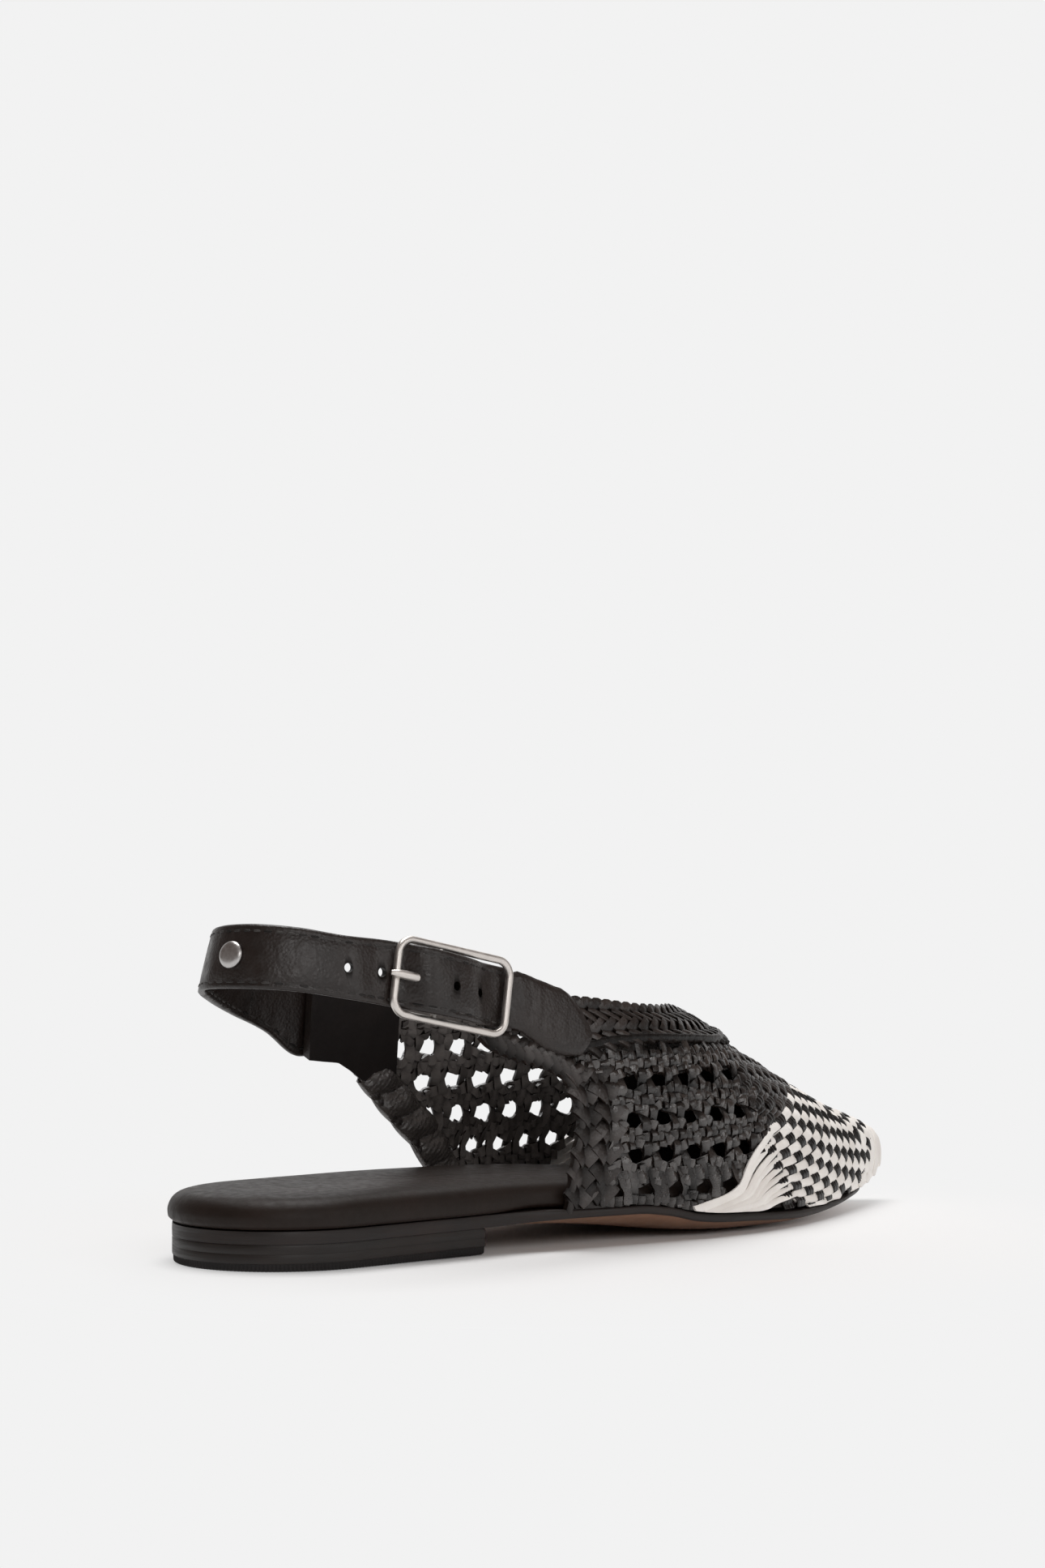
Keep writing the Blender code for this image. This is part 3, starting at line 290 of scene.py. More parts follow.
def plated(name, dark, light, rough, scuff):
    """Plated metal: a mirror with faint wavering polish marks, scuff wide in millimetres."""
    made, tree, surface, place = finish_of(name)
    marks = node(tree, "ShaderNodeTexNoise", {
        "Vector": place, "Scale": 1 / (scuff * MM), "Detail": 2.0, "Roughness": 0.5}).outputs["Fac"]
    tint = node(tree, "ShaderNodeMix", {0: marks, 6: linear(dark), 7: linear(light)}, data_type="RGBA").outputs[2]
    sheen = node(tree, "ShaderNodeMapRange", {
        "Value": marks, "From Min": 0.3, "From Max": 0.75, "To Min": rough - 0.05, "To Max": rough + 0.1}).outputs[0]
    bump = node(tree, "ShaderNodeBump", {"Height": marks, "Strength": 0.03, "Distance": 0.03 * MM}).outputs[0]
    surface.inputs["Metallic"].default_value = 1.0
    for socket, value in (("Base Color", tint), ("Roughness", sheen), ("Normal", bump)):
        tree.links.new(value, surface.inputs[socket])
    return made


SOLE_EDGE = layered("inked_black_sole_edge", "#140E0C", "#271D19", 0.5, 0.5, 0.05)
HEEL_STACK = layered("painted_black_heel_stack", "#130E0B", "#231A16", 0.47, 0.45, 0.04)
HEEL_RUBBER = layered("moulded_black_rubber", "#151313", "#262222", 0.7, 0.8, 0.05, 0.3)
SOLE_TAN = leather("tan_vegetable_sole_leather", "#5E4233", "#94705A", 0.6, 0.8, 0.05, 0.35, 12.0)
NICKEL = plated("polished_nickel_plate", "#CBC5C0", "#E6E1DC", 0.4, 3.0)
RIVET_STEEL = plated("satin_nickel_rivet", "#A9A6A5", "#CFCCCA", 0.32, 1.2)
THREAD = leather("waxed_black_thread", "#191716", "#34302E", 0.55, 0.35, 0.05, 0.4)
print("all finishes:", len(bpy.data.materials))

# %% [markdown]
# The last is the foot-shaped block that the upper is made on. Two tables of sections describe it, and one function
# gives any point of its skin: angle 0 is the outer edge at the sole, a half turn the inner edge, and lift stands off
# the skin. All strips are laid with it, so that they fit each other and the solids.

# %% The last
SOLE_ROWS = [
    (0, 29.4, -29.4, 7.2, 7.2, 3.4), (32, 29.4, -29.4, 7.2, 7.2, 3.4), (60, 28.6, -28.6, 7.2, 7.2, 3.4),
    (80, 28.2, -28.4, 7.2, 7.1, 3.4), (96, 32.0, -30.4, 8.2, 6.4, 2.8), (110, 34.2, -31.8, 8.5, 5.4, 2.0),
    (127, 36.8, -33.8, 8.6, 3.8, 1.9), (138, 37.9, -35.2, 7.4, 2.4, 2.0), (148, 38.6, -36.6, 5.1, 1.2, 2.0),
    (157, 38.9, -37.5, 4.2, 0.4, 2.0), (166, 38.5, -37.9, 3.8, 0.0, 2.0), (181, 36.6, -37.0, 2.9, 0.0, 2.0),
    (194, 33.2, -34.8, 2.2, 0.0, 2.0), (206, 28.8, -31.5, 2.0, 0.3, 2.0), (220, 22.6, -26.4, 2.3, 1.0, 2.0),
    (234, 15.4, -19.8, 3.1, 2.0, 2.0), (246, 8.6, -13.4, 4.1, 3.2, 2.0), (253, 3.4, -8.4, 5.0, 4.2, 2.0),
    (256.6, 0.2, -5.2, 5.3, 4.7, 2.0), (258, -2.3, -2.7, 5.4, 4.9, 2.0),
]
LAST_ROWS = [
    (50, 30.0, -30.6, 0.0, 0.0, 113.0, 0.50, 1.0), (80, 30.6, -30.8, 0.0, 0.0, 100.0, 0.50, 1.5),
    (104, 33.0, -31.2, 0.0, 0.0, 89.5, 0.52, 2.0), (125, 36.0, -33.0, 0.0, 0.0, 79.5, 0.56, 2.0),
    (145, 37.8, -35.6, 0.0, -1.0, 70.2, 0.60, 1.6), (157, 38.2, -36.8, 0.0, -1.5, 64.8, 0.64, 1.3),
    (172, 37.4, -37.1, 0.0, -2.0, 58.2, 0.68, 1.1), (188, 34.4, -35.4, 0.0, -2.4, 51.2, 0.72, 1.0),
    (204, 29.0, -31.5, 0.0, -2.6, 44.0, 0.76, 1.0), (220, 22.0, -25.8, 0.0, -2.8, 36.9, 0.80, 1.0),
    (236, 14.0, -18.6, 0.0, -2.8, 30.4, 0.84, 1.1), (248, 7.8, -12.4, 0.1, -2.7, 26.4, 0.88, 1.2),
    (256, 3.2, -7.8, 0.8, -2.6, 23.6, 0.92, 1.0), (261, 0.2, -5.0, 2.6, -2.5, 20.8, 0.96, 0.4),
    (263.3, -1.4, -3.6, 4.8, -2.5, 18.0, 1.0, 0.1), (264, -2.4, -2.6, 7.4, -2.5, 15.4, 1.0, 0.0),
]
SOLE_TIP, TOE_TIP, TOE_START = 258.0, 264.0, 236.0


def smooth(xs, ys):
    """Curve through a table's rows that never overshoots them."""
    xs, ys = np.asarray(xs, float), np.asarray(ys, float)
    step = np.diff(xs)
    rise = np.diff(ys) / step
    slope = np.concatenate([rise[:1], np.zeros(len(xs) - 2), rise[-1:]])
    for k in range(1, len(xs) - 1):
        if rise[k - 1] * rise[k] > 0:
            slope[k] = 2 * rise[k - 1] * rise[k] / (rise[k - 1] + rise[k])

    def value(x):
        x = np.clip(np.asarray(x, float), xs[0], xs[-1])
        k = np.clip(np.searchsorted(xs, x, side="right") - 1, 0, len(step) - 1)
        t = (x - xs[k]) / step[k]
        start = ys[k] * (1 + 2 * t) * (1 - t) ** 2 + ys[k + 1] * t * t * (3 - 2 * t)
        return start + step[k] * t * (1 - t) * (slope[k] * (1 - t) - slope[k + 1] * t)

    return value


def columns(names, rows):
    """One curve for each named column of a table, over its first column."""
    data = list(zip(*rows))
    return {name: smooth(data[0], data[k + 1]) for k, name in enumerate(names)}


SOLE = columns(("lat", "med", "low", "mid", "edge"), SOLE_ROWS)
LAST = columns(("lat", "med", "lift", "ridge_x", "ridge_z", "square", "swell"), LAST_ROWS)


def feather(y):
    """Height of the line where the upper meets the sole."""
    s = np.minimum(y, SOLE_TIP)
    return SOLE["low"](s) + SOLE["edge"](s) + 0.42 + LAST["lift"](y)


def skin(y, angle, lift=0.0):
    """Points that stand off the last by lift."""
    y, angle, lift = np.broadcast_arrays(np.asarray(y, float), angle, lift)
    ridge = LAST["ridge_x"](y)
    side = np.where(angle <= np.pi / 2, 1.0, -1.0)
    half = np.where(side > 0, LAST["lat"](y) - ridge, ridge - LAST["med"](y))
    low = feather(y)
    tall = LAST["ridge_z"](y) - low
    level, up = np.abs(np.cos(angle)), np.sin(angle)
    reach = half + lift * np.minimum(1, half / 12.0)
    reach = reach * level ** LAST["square"](y) + LAST["swell"](y) * 2 * level * up
    ahead = lift * np.clip((y - TOE_START) / (TOE_TIP - TOE_START), 0, 1)
    z = low + (tall + lift * np.minimum(1, tall / 22.0)) * up
    return np.stack([ridge + side * reach, y + 1.3 * ahead, z], -1)


def turn_at_height(y, z, side):
    """Angle on the last at a height, on the outer (1) or inner (-1) side."""
    share = np.clip((z - feather(y)) / (LAST["ridge_z"](y) - feather(y)), -0.02, 0.999)
    turn = np.arcsin(share)
    return turn if side > 0 else np.pi - turn


print("toe tip stands at", skin(TOE_TIP, np.pi / 2).round(1))

# %% [markdown]
# Over the toe a strip is easier to place by its distance from the ridge, measured round the skin. A table of that
# distance is made once and read backwards.

# %% Distance from the ridge
STATION_STEP, TURN_STEPS = 0.5, 180
STATIONS = np.arange(60.0, TOE_TIP + 0.01, STATION_STEP)
TURNS = np.linspace(0, np.pi, TURN_STEPS + 1)


def walked(points):
    """Distance along a row of points, from its first one."""
    return np.concatenate([[0], np.cumsum(np.linalg.norm(np.diff(points, axis=0), axis=1))])


travel = np.array([walked(row) for row in skin(STATIONS[:, None], TURNS[None, :])])
OUTER_SPAN, WHOLE_SPAN = travel[:, TURN_STEPS // 2], travel[:, -1]
TURN_TABLE = np.array([np.interp(np.linspace(0, row[-1], len(TURNS)), row, TURNS) for row in travel])


def span(y, side):
    """Distance from the ridge down to the feather line."""
    outer = np.interp(y, STATIONS, OUTER_SPAN)
    return outer if side > 0 else np.interp(y, STATIONS, WHOLE_SPAN) - outer


def turn_at(y, d):
    """Angle at a signed distance from the ridge, outer side positive."""
    row = np.clip((np.asarray(y, float) - STATIONS[0]) / STATION_STEP, 0, len(STATIONS) - 1.001)
    whole = np.interp(y, STATIONS, WHOLE_SPAN)
    col = np.clip((np.interp(y, STATIONS, OUTER_SPAN) - d) / whole, 0, 1) * TURN_STEPS
    r, c = row.astype(int), np.minimum(col.astype(int), TURN_STEPS - 1)
    fr, fc = row - r, col - c
    low = TURN_TABLE[r, c] * (1 - fc) + TURN_TABLE[r, c + 1] * fc
    high = TURN_TABLE[r + 1, c] * (1 - fc) + TURN_TABLE[r + 1, c + 1] * fc
    return low * (1 - fr) + high * fr


print("round the foot at y 200:", round(float(np.interp(200, STATIONS, WHOLE_SPAN)), 1), "mm")

# %% [markdown]
# A strip is a thin closed ribbon: a crowned grain side, a flatter flesh side and a rim between them. One collector
# gathers many strips into one mesh, with a material for each side and a tone for each strip. The tone can carry
# painted shade; the flesh side takes it turned over, so that what is darker on the grain side is paler on the back.

# %% Collecting strips
EVEN_TONE = 0.6


class Strips:
    """Gathers closed grids of points into one piece."""

    def __init__(self):
        self.points, self.faces, self.kinds, self.tones, self.count = [], [], [], [], 0

    def add(self, top, under, face=0, back=1, tone=None):
        """One strip from the points of its grain side and of its flesh side."""
        n, m = top.shape[:2]
        grid = np.arange(n * m).reshape(n, m)
        upper = np.stack([grid[:-1, :-1], grid[1:, :-1], grid[1:, 1:], grid[:-1, 1:]], -1).reshape(-1, 4)
        loop = np.concatenate([grid[0], grid[1:, -1], grid[-1, -2::-1], grid[-2:0:-1, 0]])
        after = np.roll(loop, -1)
        rim = np.stack([loop, after, after + n * m, loop + n * m], -1)
        quads = np.concatenate([upper, upper[:, ::-1] + n * m, rim])
        i, j = n // 2 - (n == 2), m // 2 - (m == 2)
        normal = np.cross(top[i + 1, j] - top[i, j], top[i, j + 1] - top[i, j])
        if np.dot(normal, (top - under).mean((0, 1))) < 0:
            quads = quads[:, ::-1]
        self.faces.append(quads + self.count)
        self.kinds.append(np.repeat([face, back, face], [len(upper), len(upper), len(rim)]))
        self.points.append(np.concatenate([top.reshape(-1, 3), under.reshape(-1, 3)]))
        tone = np.broadcast_to(CHANCE.uniform(0.15, 1.0) if tone is None else tone, (n, m)).ravel()
        # Painted shade of the flesh side: its tone is the grain side's turned over, paler where the grain side is
        # darker.
        self.tones.append(np.concatenate([tone, tone.max() + tone.min() - tone]))
        self.count += 2 * n * m

    def piece(self, name, finishes, slot, *nodes):
        """The piece that all the strips form together."""
        made = whole_mesh(name, np.concatenate(self.points), np.concatenate(self.faces), finishes,
                          np.concatenate(self.kinds), np.concatenate(self.tones))
        print(name, "made of", len(self.points), "closed strips")
        return dressed(made, slot, *nodes)


def whole_mesh(name, points, faces, finishes, kinds=None, tones=None, sharp=55):
    """One mesh object from points in millimetres and faces."""
    mesh = bpy.data.meshes.new(name)
    mesh.from_pydata(in_frame(points).tolist(), [], [tuple(f) for f in faces])
    for finish in finishes:
        mesh.materials.append(finish)
    if kinds is not None:
        mesh.polygons.foreach_set("material_index", np.asarray(kinds, np.int32))
    mesh.polygons.foreach_set("use_smooth", np.ones(len(mesh.polygons), bool))
    tone = mesh.attributes.new("tone", "FLOAT", "POINT")
    tones = np.full(len(points), EVEN_TONE) if tones is None else tones
    tone.data.foreach_set("value", np.asarray(tones, np.float32))
    mesh.set_sharp_from_angle(angle=math.radians(sharp))
    mesh.update()
    made = bpy.data.objects.new(name, mesh)
    bpy.context.scene.collection.objects.link(made)
    return made


def dressed(piece, slot, *nodes):
    """Lets the piece ride on the shoe and stands in for the solids it covers; slot is not used."""
    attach(piece, "root")
    if nodes:
        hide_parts(*nodes)
    print(piece.name, "triangles:", sum(len(p.vertices) - 2 for p in piece.data.polygons))
    return piece


def unit(vectors):
    """Vectors of the same direction, one long."""
    return vectors / np.linalg.norm(vectors, axis=-1, keepdims=True)


def lay(strips, chart, path, half, lift, thick, crown, across=5, tilt=0.0, belly=0.0):
    """Lays one strip along a path of chart places: half is its half width, tilt raises one of its edges."""
    path = np.asarray(path, float)
    along = unit(np.gradient(path, axis=0))
    aside = np.stack([-along[:, 1], along[:, 0]], -1)
    q = np.linspace(-1, 1, across)
    half = np.broadcast_to(half, len(path))[:, None]
    lift = np.broadcast_to(lift, len(path))[:, None]
    spots = path[:, None] + aside[:, None] * (half * q)[..., None]
    y, angle = chart(spots[..., 0], spots[..., 1])
    rise = lift + crown * (1 - q ** 2) + tilt * q
    sink = lift - thick + tilt * q - belly * (1 - q ** 2)
    # Painted shade and painted highlight: the strip's random tone is lowered in its dips and towards its edges and
    # raised where it stands proud.
    tone = CHANCE.uniform(0.35, 1.1) * np.clip(0.5 + 0.9 * (rise - rise.mean()), 0.2, 1.0)
    strips.add(skin(y, angle, rise), skin(y, angle, np.minimum(sink, rise - 0.15)), tone=tone)


print("strip tools ready")

# %% [markdown]
# ## Toe and vamp
# The front is one plain weave. Black strips leave the collar side by side, run forward along the ridge and fan out
# down to the sole. The strips that cross them are white over the toe and black over the vamp. Such a net is drawn
# with two families of curves that meet at right angles: the black strips grow away from the ridge as they run
# forward, the crossing strips swing back as they go down. Each cell is then an over or an under.

# %% The net of the front
BLACK_START, BLACK_PITCH, BLACK_FAN = 26.5, 9.69, 40.6
CROSS_START, CROSS_PITCH, CROSS_SWING = 220.4, 3.5, 41.55
CAP_EDGE = ([0, 5, 20.6, 31.9, 41.7, 46.7, 50.5, 54.3], [221.0, 218.7, 205.2, 194.2, 186.8, 183.0, 179.9, 176.7])
RIDGE_PITCH, RIDGE_ROOM = 4.1, 14.3
TIP_EDGE = ([0, 1.9, 4.6, 7.1, 9.4, 12.1, 15.5, 17.8, 23.3],
            [235, 239.5, 246.5, 250.0, 252.4, 253.4, 253.0, 252.0, 251.4])


def ridge_log(d):
    """Logarithm that goes on as a straight line close to the ridge."""
    far = np.log(np.maximum(d, RIDGE_ROOM))
    return np.where(d > RIDGE_ROOM, far, math.log(RIDGE_ROOM) + d / RIDGE_ROOM - 1)


def swing(d):
    """How far back a crossing strip has swung at a distance from the ridge."""
    return d ** 2 / (2 * CROSS_SWING)


REACH = np.linspace(0, 130, 2000)
REACH_KEY = swing(REACH) + BLACK_FAN * ridge_log(REACH)


def net(i, j):
    """Place along the foot and distance from the ridge of black strip i at crossing strip j."""
    first = BLACK_START + BLACK_PITCH * i
    second = CROSS_START + CROSS_PITCH * j
    d = np.interp(second - first, REACH_KEY, REACH)
    return second - swing(d), d


def black_index(y, d):
    """Number of the black strip at a place: steady rows beside the ridge, the fan farther out."""
    far = np.abs(d)
    fanned = (y - BLACK_FAN * ridge_log(far) - BLACK_START) / BLACK_PITCH
    return np.where(far < RIDGE_ROOM, far / RIDGE_PITCH, fanned)


def tip_edge(s):
    """Where the folded tip begins, by distance up from the feather line."""
    return np.interp(s, *TIP_EDGE)


def runs(mask):
    """Start and end of each unbroken stretch of a mask."""
    edges = np.flatnonzero(np.diff(np.concatenate([[0], mask.astype(int), [0]])))
    return list(zip(edges[::2], edges[1::2]))


print("a cell of the toe by the ridge:", [round(float(v), 1) for v in net(8, 2)])

# %% [markdown]
# The black strips of the front are three narrow thongs side by side, which show as fine lines. On the vamp they lie
# edge to edge, over the toe they stand apart and show the white between them.

# %% Black strips of the front
WAVE, VAMP_REAR, FAN_FROM = 0.5, 173.0, 47
front_black = Strips()
j = np.arange(-16, 17, 1 / 3)
q = np.linspace(-1, 1, 13)
thong = 0.22 * np.abs(np.sin(1.5 * np.pi * (q + 1))) + 0.18 * (1 - q ** 2)
for side in (1, -1):
    for i in range(-1, 17):
        y, d = net(i, j)
        s = span(y, side) - d
        rear = np.where(d < FAN_FROM, VAMP_REAR, np.interp(d, *CAP_EDGE))
        rear = np.where((d >= FAN_FROM) & (i >= 0), CROSS_START - 2.4 * CROSS_PITCH - swing(d), rear)
        inside = (y >= rear) & (y <= tip_edge(s) + 1.5) & (d > RIDGE_ROOM - 0.6) & (s > 0.3)
        for start, end in runs(inside):
            if end - start < 5:
                continue
            rows, near = j[start:end], np.clip((24 - d[start:end]) / 14, 0, 1)
            half = np.interp(rows, [-3.6, -2.4], [0.47, 0.36]) - 0.09 * near * (rows > -2.4)
            yy, dd = net(i + CHANCE.normal(0, 0.02) + half[:, None] * q, rows[:, None] + 0 * q)
            steps = np.arange(end - start)
            eased = np.minimum(1, np.minimum(steps, steps[::-1]) / 2)
            wave = (WAVE * np.cos(np.pi * (i + rows)) * eased)[:, None]
            tone = CHANCE.uniform(0.15, 1.0) * np.interp(rows, [-3.2, -2.2], [1.0, 0.25])[:, None]
            turn = turn_at(yy, side * dd)
            front_black.add(skin(yy, turn, 0.12 + wave + thong), skin(yy, turn, wave - 0.55), tone=tone)
ridge_y = np.arange(174.0, 254.0, 0.7)
q = np.linspace(-1, 1, 11)
thong = 0.2 * np.abs(np.sin(1.5 * np.pi * (q + 1)))
for m in range(-3, 4):
    d = m * RIDGE_PITCH
    y = ridge_y - swing(d)
    keep = (y <= tip_edge(span(y, 1 if m >= 0 else -1) - abs(d)) + 1.5) & (y >= VAMP_REAR)
    wave = (WAVE * np.cos(np.pi * (m + (ridge_y - CROSS_START) / CROSS_PITCH)))[:, None]
    half = np.where(y > np.interp(abs(d), *CAP_EDGE), 1.35, 1.9)[:, None]
    yy, dd = np.broadcast_arrays(y[:, None], d + half * q)
    turn = turn_at(yy, dd)
    tone = CHANCE.uniform(0.15, 1.0) * np.interp(yy, [186, 202], [1.0, 0.25])
    front_black.add(skin(yy, turn, 0.1 + wave + thong)[keep], skin(yy, turn, wave - 0.55)[keep], tone=tone[keep])
front_black.piece("front_black_strips", [BLACK_STRIP, BLACK_FLESH], "upper", "upper")

# %% [markdown]
# The crossing strips go over the ridge in one piece. The lowest white ones leave the net at the rear and gather into
# a fan at the sole, with no black between them. There they end in pairs, one partly on the other.

# %% Crossing strips of the front
FAN_REAR, FAN_FRONT, FAN_TAIL = -3, 5, 146.0
FAN_EDGE = {
    1: np.array([(146, 0.2), (149.8, 1.6), (153.8, 2.9), (160.9, 5.2), (165, 7.6), (167.1, 10.6), (169.2, 13.6),
                 (171.9, 16.4), (177.6, 20.6), (183.6, 24.6)]),
    -1: np.array([(146 + 38.6 * t, 0.2 + 24.2 * (t + 0.2 * math.sin(math.pi * t))) for t in np.linspace(0, 1, 9)]),
}


def fan_rows(j, y0, s0, side, q):
    """Rows of a white strip that runs from the net back and down to the sole, all in the shape of the rear one."""
    k, edge = j - FAN_REAR, FAN_EDGE[side]
    walk = walked(edge)
    t = np.linspace(0, 1, 26)[:-1, None]
    shape = np.stack([smooth(walk, edge[:, n])(t[:, 0] * walk[-1]) for n in (0, 1)], -1)
    shape = (shape - edge[0]) / (edge[-1] - edge[0])
    tail = np.array([FAN_TAIL + 3.4 * (k // 2) + 0.9 * (k % 2), 0.2])
    spine = tail + (np.array([y0, s0]) - tail) * shape
    along = unit(np.gradient(spine, axis=0))
    aside = np.stack([along[:, 1], -along[:, 0]], -1)
    last = np.array([0.47 * CROSS_PITCH, -0.3])
    wide = aside * np.interp(t, [0, 0.5, 1], [1.1, 0.9 if side > 0 else 1.1, 0.8]) * (1 - t ** 6) + last * t ** 6
    yy = spine[:, :1] + wide[:, :1] * q
    ss = np.maximum(spine[:, 1:] + wide[:, 1:] * q, 0.02)
    return yy, span(yy, side) - ss


front_cross = Strips()
q = np.linspace(-1, 1, 5)
reach = np.arange(-96.0, 96.1, 1.0)
side = np.where(reach >= 0, 1, -1)
for j in range(-13, 13):
    middle = CROSS_START + CROSS_PITCH * (j + CHANCE.normal(0, 0.03))
    y = middle - swing(reach)
    s = np.where(reach >= 0, span(y, 1), span(y, -1)) - np.abs(reach)
    i = black_index(y, reach)
    white = (j >= FAN_REAR) & ((j >= 0) | (y >= np.interp(np.abs(reach), *CAP_EDGE)))
    good = (y >= 173.5) & (s > -0.1) & (y <= 263.0)
    good &= ~(white & (i < np.where(reach > 0, -0.45, 0.3)))
    folded = np.clip((y - tip_edge(s)) / 2, 0, 1)
    # A white strip is one band, a black one is two narrow bands that lie a little lower.
    for kind, sunk, crown, face, bands in ((True, 0.0, 0.3, 0, ((0.0, 0.47),)),
                                           (False, 0.12, 0.12, 2, ((-0.25, 0.225), (0.25, 0.225)))):
        over_all = -WAVE * np.cos(np.pi * (i + j)) - sunk
        over_all = over_all * (1 - folded) + (0.15 + 0.12 * (j % 2)) * folded
        for start, end in runs(good & (white == kind)):
            if end - start < 4:
                continue
            over = over_all[start:end]
            for aside, wide in bands:
                yy = middle + CROSS_PITCH * (aside + wide * q) - swing(reach[start:end, None])
                rows = [(yy, np.broadcast_to(reach[start:end, None], yy.shape), over, 0 * over)]
                for at, place in ((start, 0), (end - 1, -1)):
                    if kind and j <= FAN_FRONT and abs(i[at]) < 1.5 and s[at] > 1.0 and y[at] < 200:
                        fy, fd = fan_rows(j, y[at], s[at], side[at], q)
                        pile = 1.0 + 0.24 * (j % 2) - 0.04 * (j - FAN_REAR)
                        ease = np.linspace(0, 1, len(fy)) ** 3
                        fan = (fy, fd * side[at], pile + (over[place] - pile) * ease, 0.2 * (1 - ease))
                        rows = [fan] + rows if place == 0 else rows + [tuple(part[::-1] for part in fan)]
                yy, dd, lift, bank = (np.concatenate([r[n] for r in rows]) for n in range(4))
                turn = turn_at(yy, dd)
                tone = CHANCE.uniform(0.45, 1.0) if kind else None
                lift = lift[:, None] + bank[:, None] * q
                front_cross.add(skin(yy, turn, 0.1 + lift + crown * (1 - q ** 2)), skin(yy, turn, lift - 0.6),
                                face, face + 1, tone)
front_cross.piece("front_crossing_strips", [WHITE_STRIP, WHITE_FLESH, BLACK_STRIP, BLACK_FLESH], "upper", "upper")

# %% [markdown]
# At the very tip the white strips are folded under and pressed flat into a small plain cap with soft creases.
# A thin split-leather lining closes the front from inside.

# %% Folded tip and lining
def height_of(turns):
    """Turn up from the feather line, the same on both sides."""
    return np.where(turns < np.pi / 2, turns, np.pi - turns)


tip = Strips()
turns = np.linspace(0.0, np.pi, 61)
share = np.linspace(0, 1, 22)[:, None]
start = tip_edge(height_of(turns) / (np.pi / 2) * 24) - 1.2
yy = start + (263.9 - start) * share
tt = np.broadcast_to(turns, yy.shape)
crease = 0.06 * np.cos(9 * tt + 4 * share) + 0.05 * np.sin(17 * tt - 9 * share)
lip = np.interp(share, [0, 0.06, 0.2, 1], [-0.4, -0.1, 0.0, 0.1])
tip.add(skin(yy, tt, lip + crease), skin(yy, tt, -0.7), tone=0.8)
a, z = np.radians(np.linspace(-85, 85, 25))[:, None], np.linspace(10.6, 14.5, 9)
tuck = [np.stack([-2.5 + r * np.sin(a) + 0 * z, 260.0 + r * np.cos(a) - 0.45 * (14.5 - z), z + 0 * a], -1)
        for r in (3.2, 2.4)]
tip.add(*tuck, tone=0.7)
tip.piece("folded_toe_tip", [WHITE_STRIP, WHITE_FLESH], "upper", "upper")

inside = Strips()
turns = np.linspace(0.015, np.pi - 0.015, 61)
height = height_of(turns)
start = np.interp(height, [0, 0.06, 0.16, 0.3, 0.45, 0.8, 1.1, 1.57], [150, 156, 169, 174, 178, 180, 182, 190])
start = np.where((turns > np.pi / 2) & (height < 0.6), np.maximum(start, 176), start)
yy = start + (258.0 - start) * np.linspace(0, 1, 40)[:, None]
inside.add(skin(yy, turns, -0.95), skin(yy, turns, -1.6), tone=0.5)
inside.piece("toe_lining", [LINING, LINING], "upper")

# %% [markdown]
# ## Open weave of the sides
# Behind the vamp the strips part and leave rows of gaps. Three level strips run between each two rows of gaps, upright
# strips cross them half a gap apart: long ones pass between the gaps, short ones close the space above and below.
# The level strips bow round each gap, which makes it rounded rather than square.

# %% Open weave
# Height of each row of gaps and the place of its first gap, on the outer (1) and inner (-1) side.
OPEN_ROWS = {
    1: [(45, 125.5), (34.7, 125.5), (24.4, 126.0), (14.6, 129.5)],
    -1: [(52.6, 94.2), (42.4, 103.8), (32.6, 106.0), (23.2, 124.0)],
}
SOLE_LEVEL = 9.0  # stands for the height of a strip along the sole
REAR_EDGE = {
    1: smooth([5, 10, 27, 34, 40, 45, 48, 49.3, 50.2, 52, 55, 57.4],
              [103.2, 103.4, 105.8, 107.2, 106.6, 104.6, 102, 98, 90, 82.5, 77.5, 76.2]),
    -1: smooth([5, 11, 19, 27.4, 34.8, 42.2, 48, 51, 51.8, 75], [111, 109, 104.6, 98.4, 90.4, 82.8, 77, 72, 62, 62]),
}
OPEN_FRONT = smooth([8, 10.7, 12.9, 15.6, 18.8, 22.4, 26.9, 35.4, 43.7, 51.2, 60],
                    [149, 154, 162, 167, 170, 174, 179, 177, 176, 178, 180])


def on_side(side):
    def chart(y, z):
        return y, turn_at_height(y, z, side)
    return chart


